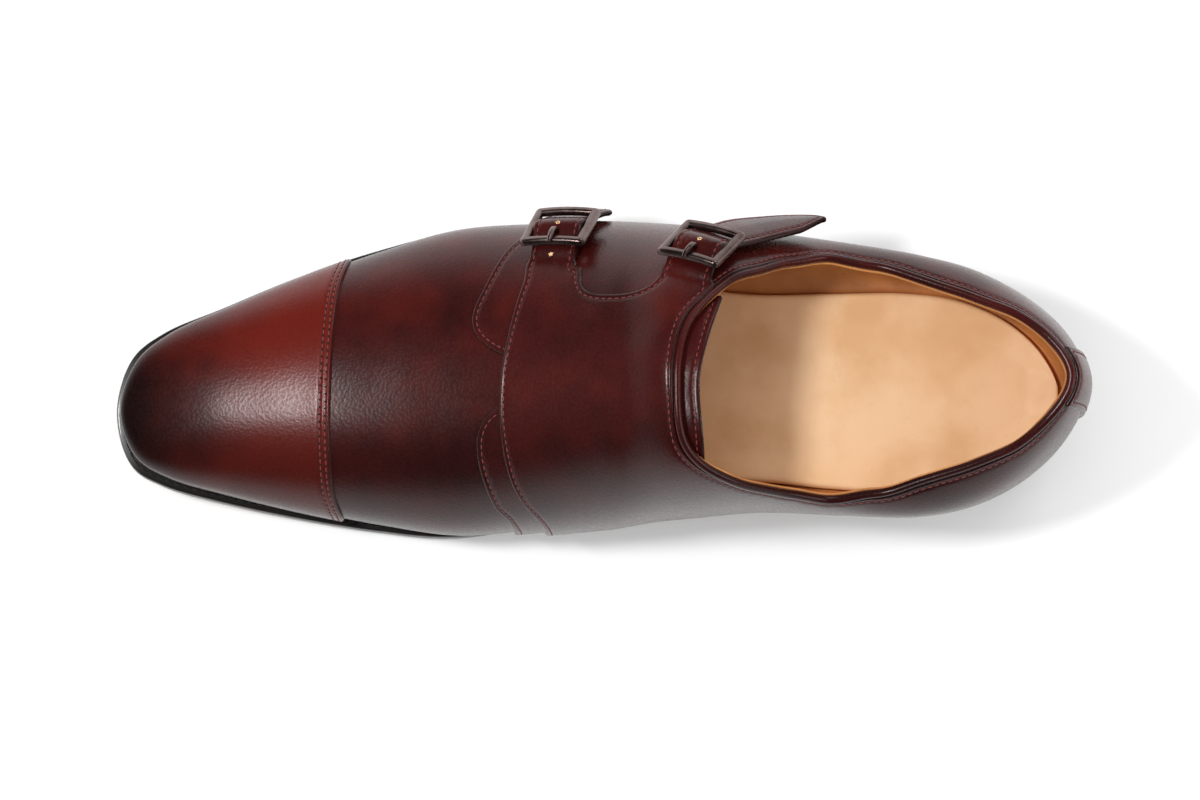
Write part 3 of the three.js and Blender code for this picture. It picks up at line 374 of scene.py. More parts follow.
class Spots:
    """Places on the last, each with four neighbours that give its slopes."""

    def __init__(self, places):
        along, rise = places[:, 0], places[:, 1]
        moves = ((0, 0), (NUDGE, 0), (-NUDGE, 0), (0, NUDGE), (0, -NUDGE))
        self.points = [last_point(along + a, rise + r) for a, r in moves]
        self.run = self.points[1] - self.points[2]
        self.climb = self.points[3] - self.points[4]
        normal = np.cross(self.climb, self.run)
        flat = np.linalg.norm(normal, axis=1) < 1e-6
        normal[flat] = (0, 0, 1)
        self.normal = unit(normal)

    def distance(self, field):
        """Distance along the surface to the field's zero line, at each place and neighbour."""
        raw = [field(p) for p in self.points]
        a, b = raw[1] - raw[2], raw[3] - raw[4]
        e = (self.run ** 2).sum(1)
        f = (self.run * self.climb).sum(1)
        g = (self.climb ** 2).sum(1)
        steep = (g * a * a - 2 * f * a * b + e * b * b) / np.maximum(e * g - f * f, 1e-12)
        steep = np.clip(np.sqrt(np.maximum(steep, 0)), 0.3, 3)
        return [r / steep for r in raw]

    def lifted(self, heights):
        """Points and normals of the surface at a height that differs from place to place."""
        out = self.points[0] + self.normal * heights[0][:, None]
        run = self.run + self.normal * (heights[1] - heights[2])[:, None]
        climb = self.climb + self.normal * (heights[3] - heights[4])[:, None]
        return out, unit(np.cross(climb, run) + self.normal * 1e-9)


def to_frame(points):
    """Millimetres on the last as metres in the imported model's frame."""
    return (np.asarray(points) + SHIFT) * 0.001


# The shift puts the low corner of the sole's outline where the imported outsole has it. The places
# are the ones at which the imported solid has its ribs.
SOLE_RIBS = 64
SOLE_CORNER = sole_edge(np.arange(SOLE_RIBS) / SOLE_RIBS, 0.0).min(0)
OUTSOLE_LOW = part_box("outsole")[0]
SHIFT = np.array([OUTSOLE_LOW[0] * 1000 - SOLE_CORNER[0], OUTSOLE_LOW[1] * 1000 - SOLE_CORNER[1], 0.0])


def edge_points(rows, per_span=7):
    """Plan points in mm along the smooth curve through (share, across) rows."""
    p = np.array(rows) * (LAST_LENGTH, BALL_WIDTH)
    p = np.concatenate([p[:1], p, p[-1:]])
    found = []
    for k in range(1, len(p) - 2):
        t = np.linspace(0, 1, per_span, endpoint=False)[:, None]
        a, b = (p[k + 1] - p[k - 1]) / 2, (p[k + 2] - p[k]) / 2
        found.append(p[k] + a * t + (3 * (p[k + 1] - p[k]) - 2 * a - b) * t ** 2
                     + (2 * (p[k] - p[k + 1]) + a + b) * t ** 3)
    return np.concatenate(found + [p[-2:-1]])


# Points measured at one time, so that the tables of distances stay small
CHUNK = 8000


def plan_field(outline):
    """Signed distance in plan to a closed outline, positive inside."""
    a = np.array(outline)
    b = np.roll(a, -1, axis=0)
    d = b - a
    length = np.maximum((d ** 2).sum(1), 1e-12)
    rise = np.where(np.abs(d[:, 1]) < 1e-12, 1e-12, d[:, 1])

    def field(points):
        found = np.empty(len(points))
        for start in range(0, len(points), CHUNK):
            x = points[start:start + CHUNK, 0:1]
            y = points[start:start + CHUNK, 1:2]
            t = np.clip(((x - a[:, 0]) * d[:, 0] + (y - a[:, 1]) * d[:, 1]) / length, 0, 1)
            near = np.sqrt(((x - a[:, 0] - t * d[:, 0]) ** 2
                            + (y - a[:, 1] - t * d[:, 1]) ** 2).min(1))
            crossed = ((a[:, 1] > y) != (b[:, 1] > y)) & (x < d[:, 0] * (y - a[:, 1]) / rise + a[:, 0])
            found[start:start + CHUNK] = np.where(crossed.sum(1) % 2 == 1, near, -near)
        return found
    return field


def top_field(spare):
    """Height left below the topline, with some spare added."""
    return lambda points: top_at(points[:, 0]) - points[:, 2] + spare


def rounded(distance, radius):
    """0 at an edge, rising in a quarter circle to 1 at radius from it."""
    t = 1 - np.clip(distance / radius, 0, 1)
    return np.sqrt(np.maximum(0, 1 - t * t))


def stitch_dip(distance, rows):
    """Leather drawn down along rows of stitches, inside its edge."""
    dips = sum(STITCH_DIP * np.exp(-((distance - row) / STITCH_DIP_WIDTH) ** 2) for row in rows)
    return dips * (distance > 0)


def edge_levels(radius, rows):
    """Distances from the edge at which a sheet gets lines of points, so that its round edge and
    the dips beside its stitches come out smooth."""
    return (0.06, 0.22, 0.5, radius, *(row - STITCH_DIP_REACH for row in rows),
            *(row + STITCH_DIP_REACH for row in rows))


# Soft folds and flat spots: middle x, y, half length along, half width, turn in degrees, height
SOFT_SHAPES = ((112, 4, 34, 7, 82, -0.10), (102, -6, 30, 7, 96, 0.06), (121, 20, 22, 5, 60, 0.10),
               (150, -14, 40, 7, 12, -0.25), (166, 8, 26, 6, -25, 0.22), (172, 20, 20, 5, 30, -0.22),
               (192, -30, 30, 6, 8, -0.3), (215, -38, 34, 6, 3, 0.3), (158, 30, 14, 5, 70, 0.25),
               (238, 40, 40, 7, -6, -0.25), (262, -30, 24, 6, -20, -0.2), (88, 20, 22, 7, 75, 0.12))


def soft_relief(points):
    """Shallow troughs and ridges of lasted leather."""
    total = np.zeros(len(points))
    for x, y, long, wide, turn, height in SOFT_SHAPES:
        c, s = math.cos(math.radians(turn)), math.sin(math.radians(turn))
        dx, dy = points[:, 0] - x, points[:, 1] - y
        total += height * np.exp(-((dx * c + dy * s) / long) ** 2 - ((dy * c - dx * s) / wide) ** 2)
    return total


# Cutting sheets out of the last's surface

def grid(along, rise):
    """Places and triangles of a grid over the last."""
    a, r = np.meshgrid(along, rise, indexing="ij")
    places = np.stack([a.ravel(), r.ravel()], 1)
    i, j = np.meshgrid(np.arange(len(along) - 1), np.arange(len(rise) - 1), indexing="ij")
    p = (i * len(rise) + j).ravel()
    q = p + len(rise)
    return places, np.concatenate([np.stack([p, p + 1, q], 1), np.stack([q, p + 1, q + 1], 1)])


def slice_at(places, faces, value, level):
    """Cuts the triangles along the line where value is level."""
    gap = value - level
    gap[np.abs(gap) < 1e-7] = 0.0
    sign = np.sign(gap)[faces]
    crossed = (sign.min(1) < 0) & (sign.max(1) > 0)
    whole, cut, s = faces[~crossed], faces[crossed], sign[crossed]
    touching = (s == 0).any(1)
    first = np.where(touching, np.argmax(s == 0, 1),
                     np.argmax(s == -np.sign(s.sum(1))[:, None], 1))
    turned = np.take_along_axis(cut, (first[:, None] + np.arange(3)) % 3, 1)
    one, two = turned[touching], turned[~touching]
    edges = np.concatenate([one[:, 1:3], two[:, [0, 1]], two[:, [0, 2]]])
    count = len(places)
    keys, back = np.unique(edges.min(1) * count + edges.max(1), return_inverse=True)
    a, b = keys // count, keys % count
    share = gap[a] / (gap[a] - gap[b])
    places = np.concatenate([places, places[a] + (places[b] - places[a]) * share[:, None]])
    value = np.concatenate([value, np.full(len(keys), level)])
    new = count + back.ravel()
    m, p, q = new[:len(one)], new[len(one):len(one) + len(two)], new[len(one) + len(two):]
    faces = np.concatenate([
        whole, np.stack([one[:, 0], one[:, 1], m], 1), np.stack([one[:, 0], m, one[:, 2]], 1),
        np.stack([two[:, 0], p, q], 1), np.stack([p, two[:, 1], two[:, 2]], 1),
        np.stack([p, two[:, 2], q], 1)])
    return places, faces, value


def chains(edges):
    """Orders loose edges into runs of vertex numbers."""
    links = {}
    for a, b in edges:
        links.setdefault(a, []).append(b)
        links.setdefault(b, []).append(a)
    starts = sorted(links, key=lambda k: (len(links[k]) != 1, k))
    used, runs = set(), []
    for start in starts:
        if start in used:
            continue
        run = [start]
        used.add(start)
        while True:
            ahead = [k for k in links[run[-1]] if k not in used]
            if not ahead:
                break
            run.append(ahead[0])
            used.add(ahead[0])
        if len(run) > 2:
            if len(links[start]) > 1 and start in links[run[-1]]:
                run.append(start)
            runs.append(run)
    return runs


def corner_pairs(faces):
    """The edges of all triangles, as pairs of corners in their order."""
    return np.concatenate([faces[:, [0, 1]], faces[:, [1, 2]], faces[:, [2, 0]]])


def whole_faces(faces):
    """True for each triangle whose three corners differ."""
    return ((faces[:, 0] != faces[:, 1]) & (faces[:, 1] != faces[:, 2])
            & (faces[:, 2] != faces[:, 0]))


WELD_STEPS_PER_MM = 500


def weld(points):
    """One number for each different point."""
    _, first, back = np.unique(np.round(points * WELD_STEPS_PER_MM).astype(np.int64), axis=0,
                               return_index=True, return_inverse=True)
    return first, back.ravel()


def make_mesh(name, points, faces, corner_normals=None, marks=None):
    """Object in the frame from mm points and faces, with given corner normals and marks."""
    mesh = bpy.data.meshes.new(name)
    mesh.from_pydata(to_frame(points).tolist(), [], [list(map(int, f)) for f in faces])
    for title, values in (marks or {}).items():
        layer = mesh.attributes.new(title, "FLOAT", "POINT")
        layer.data.foreach_set("value", np.asarray(values, np.float32))
    mesh.polygons.foreach_set("use_smooth", np.ones(len(mesh.polygons), bool))
    if corner_normals is not None:
        mesh.normals_split_custom_set(corner_normals.tolist())
    mesh.update()
    piece = bpy.data.objects.new(name, mesh)
    bpy.context.scene.collection.objects.link(piece)
    return piece


def finish_piece(piece, slot, nodes, *materials):
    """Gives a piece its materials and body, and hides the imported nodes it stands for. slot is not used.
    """
    for material in materials:
        piece.data.materials.append(material)
    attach(piece, "root")
    if nodes:
        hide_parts(*nodes)
    return piece


# Runs of points and directions for the stitching, by sheet and distance from its edge, without
# the runs that have no more points than this
ROWS = {}
SHORTEST_ROW = 8
# The inside of a sheet is bare lining leather from this far in from its dyed edge, in mm
LINED_FROM = 1.3


def cut_sheet(name, along, rise, region, outer, inner, levels, rows=(), side=None):
    """A closed leather sheet between two heights over the last, inside a region.

    region(spots) gives the distance to its edge at each place and neighbour; outer and inner
    give heights from that distance and the points. The grid is cut along the edge, the levels
    and the rows, and the lines at rows are kept for stitching. side is the number of the material
    inside, further in than LINED_FROM."""
    places, faces = grid(along, rise)
    value = region(Spots(places))[0]
    for level in sorted({0.0, *levels, *rows}):
        places, faces, value = slice_at(places, faces, value, level)
    faces = faces[value[faces].mean(1) > 0]
    kept, faces = np.unique(faces, return_inverse=True)
    faces = faces.reshape(-1, 3)
    places, value = places[kept], value[kept]
    spots = Spots(places)
    distance = region(spots)
    for k in range(1, 5):
        distance[k] = distance[k] - distance[0] + value
    distance[0] = value
    top, top_normal = spots.lifted([outer(d, p) for d, p in zip(distance, spots.points)])
    low, low_normal = spots.lifted([inner(d, p) for d, p in zip(distance, spots.points)])

    origin = corner_pairs(faces)
    for row in rows:
        on = np.abs(value - row) < 1e-6
        edges = np.unique(np.sort(origin[on[origin].all(1)], axis=1), axis=0)
        runs = [run for run in chains(edges.tolist()) if len(run) > SHORTEST_ROW]
        ROWS[f"{name}_{row}"] = [(top[run], top_normal[run]) for run in runs]

    count = len(places)
    points = np.concatenate([top, low])
    normals = np.concatenate([top_normal, -low_normal])
    first, number = weld(points)
    outside = number[faces]
    inside = number[faces[:, ::-1] + count]
    good, good_inside = whole_faces(outside), whole_faces(inside)
    sets = [(outside[good], normals[faces[good]]),
            (inside[good_inside], normals[faces[good_inside][:, ::-1] + count])]
    # The rim closes the sheet along each edge that only one outside triangle has
    keys = np.sort(corner_pairs(outside), axis=1)
    _, index, times = np.unique(keys, axis=0, return_index=True, return_counts=True)
    rim = index[(times == 1) & (keys[index, 0] != keys[index, 1])]
    a, b = origin[rim, 0], origin[rim, 1]
    wall = np.concatenate([np.stack([number[a], number[a + count], number[b]], 1),
                           np.stack([number[b], number[a + count], number[b + count]], 1)])
    spot = points[first]
    flat = unit(np.cross(spot[wall[:, 1]] - spot[wall[:, 0]], spot[wall[:, 2]] - spot[wall[:, 0]]))
    good = whole_faces(wall)
    sets.append((wall[good], np.repeat(flat[good][:, None], 3, 1)))
    all_faces = np.concatenate([s[0] for s in sets])
    all_normals = np.concatenate([s[1] for s in sets]).reshape(-1, 3)
    piece = make_mesh(name, spot, all_faces, all_normals,
                      {"edge_mm": np.concatenate([value, value])[first]})
    if side is not None:
        deep = np.where(value[faces[good_inside]].mean(1) > LINED_FROM, side, 0)
        under = np.concatenate([np.zeros(len(sets[0][0])), deep, np.zeros(len(sets[2][0]))])
        piece.data.polygons.foreach_set("material_index", under.astype(np.int32))
    return piece


def rise_steps(low, high, per_unit):
    """Even steps of rise, so many to each unit."""
    return np.linspace(low, high, max(2, int(round((high - low) * per_unit)) + 1))


# Corners of the outlines that lie well outside the shoe
FAR_X = 1.3 * LAST_LENGTH
FAR_Y = 2.0 * BALL_WIDTH


def cap_outline():
    return np.concatenate([edge_points(CAP_EDGE), [(-FAR_X, -FAR_Y), (-FAR_X, FAR_Y)]])


def outer_quarter_outline():
    edge = edge_points(OUTER_QUARTER_EDGE)
    return np.concatenate([edge, [(HEEL_SEAM_SHARE * LAST_LENGTH, HEEL_Y), (FAR_X, HEEL_Y),
                                  (FAR_X, FAR_Y), (edge[0, 0], FAR_Y)]])


def inner_facing_outline():
    edge = edge_points(INNER_FACING_EDGE)
    rear = INNER_FACING_REAR * LAST_LENGTH
    return np.concatenate([edge, [(edge[-1, 0] + FACING_SLANT, -FAR_Y),
                                  (rear + FACING_SLANT, -FAR_Y), (rear, edge[0, 1])]])


def flap_outline():
    edge = edge_points(FLAP_EDGE)
    return np.concatenate([
        edge, edge_points(FLAP_NOTCH), np.array(FLAP_BRIDGE) * (LAST_LENGTH, BALL_WIDTH),
        [(HEEL_TURN_SHARE * LAST_LENGTH, HEEL_Y), (HEEL_SEAM_SHARE * LAST_LENGTH, HEEL_Y),
         (FAR_X, HEEL_Y), (FAR_X, -FAR_Y), (edge[0, 0] + FLAP_SLANT, -FAR_Y)]])


def along_at_share(share):
    """along whose point on the widest line has that share of the length, on the outer side."""
    table = np.linspace(0, 1, 2001)
    x = closed_curve(BELLY_RING, table / 2)[:, 0]
    return np.interp(share * LAST_LENGTH, x, table)


def strap_path(table, t):
    """Places on the last under a strap's middle line."""
    return np.stack([along_at_share(through(table[:, 0], table[:, 1], t)),
                     through(table[:, 0], table[:, 2], t)], 1)


def strap_frames(table, t):
    """Middle points of a strap, with directions along, across and out of it."""
    def middle(at):
        spots = Spots(strap_path(table, at))
        lift = through(table[:, 0], table[:, 3], at) * STRAP_PACE
        return spots.points[0] + spots.normal * lift[:, None], spots.normal
    nudge = 0.01
    t = np.atleast_1d(np.asarray(t, float))
    here, normal = middle(t)
    run = unit(middle(np.minimum(t + nudge, 1))[0] - middle(np.maximum(t - nudge, 0))[0])
    across = unit(np.cross(normal, run))
    return here, run, across, unit(np.cross(run, across))


def strap_line(table):
    """A strap's table, samples of along, and points on the last under its middle."""
    t = np.linspace(0, 1, 61)
    return table, t, last_point(*strap_path(table, t).T)


STRAP_LINES = [strap_line(strap[1]) for strap in STRAPS]
STRAP_LENGTHS = [np.linalg.norm(np.diff(line[2], axis=0), axis=1).sum() for line in STRAP_LINES]


def strap_lift(index, at):
    """Height of a strap's middle over the last, with its hump inside the buckle."""
    _, table, buckle, _ = STRAPS[index]
    off = (at - buckle) * STRAP_LENGTHS[index] / HUMP_REACH
    return through(table[:, 0], table[:, 3], at) * STRAP_PACE + HUMP * np.exp(-off * off)


def strap_nearest(line, points):
    """Distance from points to a strap's middle line, and along at the nearest place."""
    _, t, path = line
    a, d = path[:-1], np.diff(path, axis=0)
    length = (d ** 2).sum(1)
    near, at = np.empty(len(points)), np.empty(len(points))
    for start in range(0, len(points), CHUNK):
        p = points[start:start + CHUNK]
        share = np.clip(((p[:, None] - a) * d).sum(2) / length, 0, 1)
        gap = np.sqrt(((p[:, None] - a - share[..., None] * d) ** 2).sum(2))
        best = gap.argmin(1)
        pick = np.arange(len(p))
        near[start:start + CHUNK] = gap[pick, best]
        at[start:start + CHUNK] = t[best] + share[pick, best] * (t[1] - t[0])
    return near, at


def blend_max(a, b, reach):
    """Larger of two distances, with their corner filled."""
    h = np.clip(0.5 + 0.5 * (a - b) / reach, 0, 1)
    return b + (a - b) * h + reach * h * (1 - h)


# Materials

def add_node(tree, kind, settings=None, **inputs):
    """Adds a node with its settings; an input may be a value or another node's output."""
    node = tree.nodes.new(kind)
    for key, value in (settings or {}).items():
        setattr(node, key, value)
    for key, value in inputs.items():
        place = int(key[1:]) if key[0] == "n" and key[1:].isdigit() else key.replace("_", " ")
        socket = node.inputs[place]
        if isinstance(value, bpy.types.NodeSocket):
            tree.links.new(value, socket)
        else:
            socket.default_value = value
    return node


def start_material(name, **values):
    """A new material with its node tree, its shader set to the values, and the place on it."""
    material = bpy.data.materials.new(name)
    material.use_nodes = True
    tree = material.node_tree
    tree.nodes.clear()
    shader = add_node(tree, "ShaderNodeBsdfPrincipled")
    for key, value in values.items():
        shader.inputs[key.replace("_", " ")].default_value = value
    add_node(tree, "ShaderNodeOutputMaterial", Surface=shader.outputs[0])
    material.diffuse_color = (0.2, 0.05, 0.05, 1)
    place = add_node(tree, "ShaderNodeTexCoord").outputs["Object"]
    return material, tree, shader, place


def ranged(tree, value, low, high, start, end):
    """start where value is low, end where it is high, and a soft step between."""
    return add_node(tree, "ShaderNodeMapRange", {"interpolation_type": "SMOOTHSTEP"}, Value=value,
                    From_Min=low, From_Max=high, To_Min=start, To_Max=end).outputs[0]


def mixed(tree, share, first, second):
    """Mix of two colours, each a colour or another node's output."""
    node = tree.nodes.new("ShaderNodeMix")
    node.data_type = "RGBA"
    for socket, value in ((node.inputs[0], share), (node.inputs[6], first), (node.inputs[7], second)):
        if isinstance(value, bpy.types.NodeSocket):
            tree.links.new(value, socket)
        else:
            socket.default_value = value if isinstance(value, float) else (*value, 1)
    return node.outputs[2]


def maths(tree, way, first, second=0.0):
    """Result of a sum on two inputs, each a value or another node's output."""
    return add_node(tree, "ShaderNodeMath", {"operation": way}, n0=first, n1=second).outputs[0]


def per_mm(size):
    """Texture scale on metre coordinates for a pattern of that size in mm."""
    return 1000 / size


# Waves of this size bend the grain's creases, by up to this many metres; then the pores' size
GRAIN_BEND_MM = 2.2
GRAIN_BEND_REACH = 0.0009
PORE_MM = 0.45


def grain_bump(tree, place, cell, depth, strength):
    """Leather grain: small cells with soft creases between them, and finer pores."""
    bend = add_node(tree, "ShaderNodeTexNoise", Vector=place, Scale=per_mm(GRAIN_BEND_MM),
                    Detail=2.0)
    moved = add_node(tree, "ShaderNodeVectorMath", {"operation": "MULTIPLY_ADD"},
                     n0=bend.outputs["Color"], n1=(GRAIN_BEND_REACH,) * 3, n2=place)
    cells = add_node(tree, "ShaderNodeTexVoronoi", {"feature": "SMOOTH_F1"},
                     Vector=moved.outputs[0], Scale=per_mm(cell), Smoothness=0.6)
    fine = add_node(tree, "ShaderNodeTexNoise", Vector=place, Scale=per_mm(PORE_MM), Detail=3.0)
    height = maths(tree, "ADD", cells.outputs["Distance"],
                   maths(tree, "MULTIPLY", fine.outputs["Fac"], 0.35))
    return add_node(tree, "ShaderNodeBump", Height=height, Distance=depth, Strength=strength), cells


# Where the calf's colour changes, in the frame's metres: the cap turns red towards its seam, its
# dark tip ends, the leather darkens towards the sole, partly burnish and partly painted shade, and
# towards the inner side as painted shade. The last range is in mm from a cut edge, where the
# darkening is partly burnish and partly painted shade.
CAP_RED_X = (-0.128, -0.088)
TIP_DARK_X = (-0.143, -0.103)
SOLE_BURNISH_AND_SHADE_Z = (0.012, 0.034)
INNER_PAINTED_SHADE_Y = (-0.044, 0.0)
EDGE_BURNISH_AND_SHADE_MM = (0.0, 1.1)
CLOUD_MM = 38
PATCH_MM = 13


def calf_material(name, deep, middle, red, burnish_and_shade, toe_dark):
    """Calf, aniline dyed and hand polished: a clear waxy shine over fine grain, deeper colour
    where polish gathers; along cut edges and towards the sole it darkens partly as burnish and
    partly as painted shade, and towards the inner side as painted shade."""
    material, tree, shader, place = start_material(name, Roughness=0.3, Coat_Weight=0.05,
                                                   Coat_Roughness=0.22, Specular_IOR_Level=0.27)
    cloud = add_node(tree, "ShaderNodeTexNoise", Vector=place, Scale=per_mm(CLOUD_MM), Detail=3.0,
                     Roughness=0.55)
    patches = add_node(tree, "ShaderNodeTexNoise", Vector=place, Scale=per_mm(PATCH_MM), Detail=2.0)
    parts = add_node(tree, "ShaderNodeSeparateXYZ", Vector=place)
    x, y, z = parts.outputs
    base = mixed(tree, ranged(tree, cloud.outputs["Fac"], 0.3, 0.7, 0.0, 1.0), deep, middle)
    base = mixed(tree, ranged(tree, patches.outputs["Fac"], 0.4, 0.75, 0.0, 0.22), base, red)
    if toe_dark:
        base = mixed(tree, ranged(tree, x, *CAP_RED_X, 0.0, 0.85), base, red)
        rough_x = maths(tree, "ADD", x, maths(tree, "MULTIPLY", cloud.outputs["Fac"], 0.02))
        base = mixed(tree, ranged(tree, rough_x, *TIP_DARK_X, 0.95, 0.0), base, burnish_and_shade)
    # Partly burnish, partly painted shade: darker towards the sole on the lower sides
    base = mixed(tree, ranged(tree, z, *SOLE_BURNISH_AND_SHADE_Z, 0.75, 0.0), base, burnish_and_shade)
    # Painted shade: darker towards the inner side, away from the main light
    base = mixed(tree, ranged(tree, y, *INNER_PAINTED_SHADE_Y, 0.6, 0.0), base, burnish_and_shade)
    # Partly burnish, partly painted shade: darker along each cut edge, where the seams lie
    near_edge = add_node(tree, "ShaderNodeAttribute", {"attribute_name": "edge_mm"})
    edge = ranged(tree, near_edge.outputs["Fac"], *EDGE_BURNISH_AND_SHADE_MM, 0.75, 0.0)
    base = mixed(tree, edge, base, burnish_and_shade)
    tree.links.new(base, shader.inputs["Base Color"])
    bump, cells = grain_bump(tree, place, cell=0.95, depth=0.00006, strength=0.55)
    tree.links.new(bump.outputs[0], shader.inputs["Normal"])
    tree.links.new(ranged(tree, cells.outputs["Distance"], 0.1, 0.7, 0.33, 0.27),
                   shader.inputs["Roughness"])
    return material


def tan_material(name, light, shade, spot, rough, cell):
    """Vegetable tanned lining calf: matt and slightly waxy, with cloudy colour and fine pores."""
    material, tree, shader, place = start_material(name, Roughness=rough, Specular_IOR_Level=0.3)
    cloud = add_node(tree, "ShaderNodeTexNoise", Vector=place, Scale=per_mm(24), Detail=4.0)
    fleck = add_node(tree, "ShaderNodeTexNoise", Vector=place, Scale=per_mm(1.6), Detail=3.0)
    base = mixed(tree, ranged(tree, cloud.outputs["Fac"], 0.35, 0.7, 0.0, 1.0), light, shade)
    base = mixed(tree, ranged(tree, fleck.outputs["Fac"], 0.6, 0.8, 0.0, 0.2), base, spot)
    tree.links.new(base, shader.inputs["Base Color"])
    bump, _ = grain_bump(tree, place, cell, depth=0.00005, strength=0.4)
    tree.links.new(bump.outputs[0], shader.inputs["Normal"])
    return material


def plain_material(name, colour, other, rough, size, depth, metal=0.0, coat=0.0):
    """One colour with slight patches of size mm, a matching roughness and a fine surface that
    is depth metres deep."""
    material, tree, shader, place = start_material(name, Roughness=rough, Metallic=metal,
                                                   Coat_Weight=coat, Coat_Roughness=0.15)
    patch = add_node(tree, "ShaderNodeTexNoise", Vector=place, Scale=per_mm(size), Detail=4.0)
    base = mixed(tree, ranged(tree, patch.outputs["Fac"], 0.4, 0.65, 0.0, 1.0), colour, other)
    tree.links.new(base, shader.inputs["Base Color"])
    tree.links.new(ranged(tree, patch.outputs["Fac"], 0.3, 0.7, rough + 0.06, rough - 0.04),
                   shader.inputs["Roughness"])
    bump = add_node(tree, "ShaderNodeBump", Height=patch.outputs["Fac"], Distance=depth,
                    Strength=0.5)
    tree.links.new(bump.outputs[0], shader.inputs["Normal"])
    return material


MATERIALS = {}


def materials():
    """Builds the shoe's materials once."""
    if MATERIALS:
        return MATERIALS
    tint = bpy.context.scene.shoe_colours
    deep, mid, red, burnish_and_shade = tint.calf_deep, tint.calf, tint.cap_red, tint.burnish_and_shade
    MATERIALS["calf"] = calf_material("polished_calf", deep, mid, red, burnish_and_shade, toe_dark=False)
    MATERIALS["cap"] = calf_material("burnished_and_shaded_cap_calf", mid, red, red, burnish_and_shade, toe_dark=True)
    # The lining's tones are its own tan, darkened partly as painted shade for the inside of the shoe
    MATERIALS["lining"] = tan_material("lining_calf", tint.lining, srgb("a2673a"), srgb("865028"),
                                       rough=0.55, cell=0.8)
    MATERIALS["sock"] = tan_material("sock_calf", tint.sock, srgb("e3b583"), srgb("cf9c66"),
                                     rough=0.5, cell=0.8)
    # Wax and ink on a sanded leather edge: smooth, black, softly shiny
    MATERIALS["edge"] = plain_material("waxed_edge_leather", srgb("0d0a09"), srgb("1c1512"),
                                       rough=0.34, size=5.0, depth=0.00004, coat=0.3)
    # Oak bark tanned sole leather, burnished: warm brown and almost flat
    MATERIALS["sole"] = plain_material("oak_tanned_sole_leather", tint.sole, srgb("5d3a20"),
                                       rough=0.5, size=16.0, depth=0.00003, coat=0.1)
    # Moulded rubber top piece: dull black with a fine texture
    MATERIALS["rubber"] = plain_material("moulded_heel_rubber", srgb("0e0e0e"), srgb("191919"),
                                         rough=0.72, size=0.6, depth=0.00005)
    # Zinc die casting plated in gunmetal and polished: dark brownish grey metal
    MATERIALS["metal"] = plain_material("gunmetal_plated_zinc", tint.metal, srgb("5a4a47"),
                                        rough=0.27, size=6.0, depth=0.000005, metal=1.0)
    # Waxed linen thread, dyed with the leather
    MATERIALS["thread"] = plain_material("waxed_linen_thread", tint.thread, srgb("642423"),
                                         rough=0.55, size=0.5, depth=0.00004)
    MATERIALS["edge_thread"] = plain_material("black_welt_thread", srgb("14100f"), srgb("241c1a"),
                                              rough=0.6, size=0.5, depth=0.00004)
    # Flat dark discs put between the stitches as painted shade for the needle holes
    MATERIALS["hole"] = plain_material("needle_hole_painted_shade", srgb("120404"), srgb("1c0606"),
                                       rough=0.8, size=0.6, depth=0.00002)
    # Braided rubber-cored elastic: matt black
    MATERIALS["elastic"] = plain_material("braided_elastic", srgb("0b0b0c"), srgb("1d1d1f"),
                                          rough=0.85, size=0.7, depth=0.00012)
    return MATERIALS


# Sweeps and lofts

def loft(name, rings, closed=False, caps="strip", sharp=35):
    """Skin over rings of points: closed on itself, or with ends of strips or of one flat face."""
    count, number = len(rings[0]), len(rings)
    mesh = bmesh.new()
    verts = [[mesh.verts.new(to_frame(p)) for p in ring] for ring in rings]
    for r in range(number if closed else number - 1):
        a, b = verts[r], verts[(r + 1) % number]
        for i in range(count):
            j = (i + 1) % count
            mesh.faces.new((a[i], a[j], b[j], b[i]))
    if not closed:
        for ring in (verts[0], verts[-1]):
            if caps == "ngon":
                mesh.faces.new(ring)
                continue
            for i in range(count // 2):
                quad = [ring[i], ring[i + 1], ring[(count - i - 1) % count], ring[(count - i) % count]]
                quad = [v for k, v in enumerate(quad) if v not in quad[:k]]
                if len(quad) > 2:
                    mesh.faces.new(quad)
    bmesh.ops.triangulate(mesh, faces=[f for f in mesh.faces if len(f.verts) > 4])
    bmesh.ops.recalc_face_normals(mesh, faces=mesh.faces)
    data = bpy.data.meshes.new(name)
    mesh.to_mesh(data)
    mesh.free()
    data.polygons.foreach_set("use_smooth", np.ones(len(data.polygons), bool))
    data.set_sharp_from_angle(angle=math.radians(sharp))
    piece = bpy.data.objects.new(name, data)
    bpy.context.scene.collection.objects.link(piece)
    return piece


def join(name, pieces):
    """Joins objects into one."""
    with bpy.context.temp_override(active_object=pieces[0], selected_editable_objects=pieces,
                                   selected_objects=pieces):
        bpy.ops.object.join()
    pieces[0].name = name
    return pieces[0]


def resampled(points, others, spacing, soften=0):
    """Even spacing along a run of points, softened a few times, with vectors carried along."""
    closed = np.linalg.norm(points[0] - points[-1]) < 1e-3
    run = np.concatenate([[0], np.cumsum(np.linalg.norm(np.diff(points, axis=0), axis=1))])
    count = max(4, int(round(run[-1] / spacing)))
    at = np.linspace(0, run[-1], count + 1)
    made = [np.stack([np.interp(at, run, v[:, k]) for k in range(3)], 1) for v in (points, others)]
    for _ in range(soften):
        for v in made:
            if closed:
                ring = v[:-1]
                ring[:] = (np.roll(ring, 1, 0) + 2 * ring + np.roll(ring, -1, 0)) / 4
                v[-1] = v[0]
            else:
                v[1:-1] = (v[:-2] + 2 * v[1:-1] + v[2:]) / 4
    return made[0], unit(made[1])


# Operators

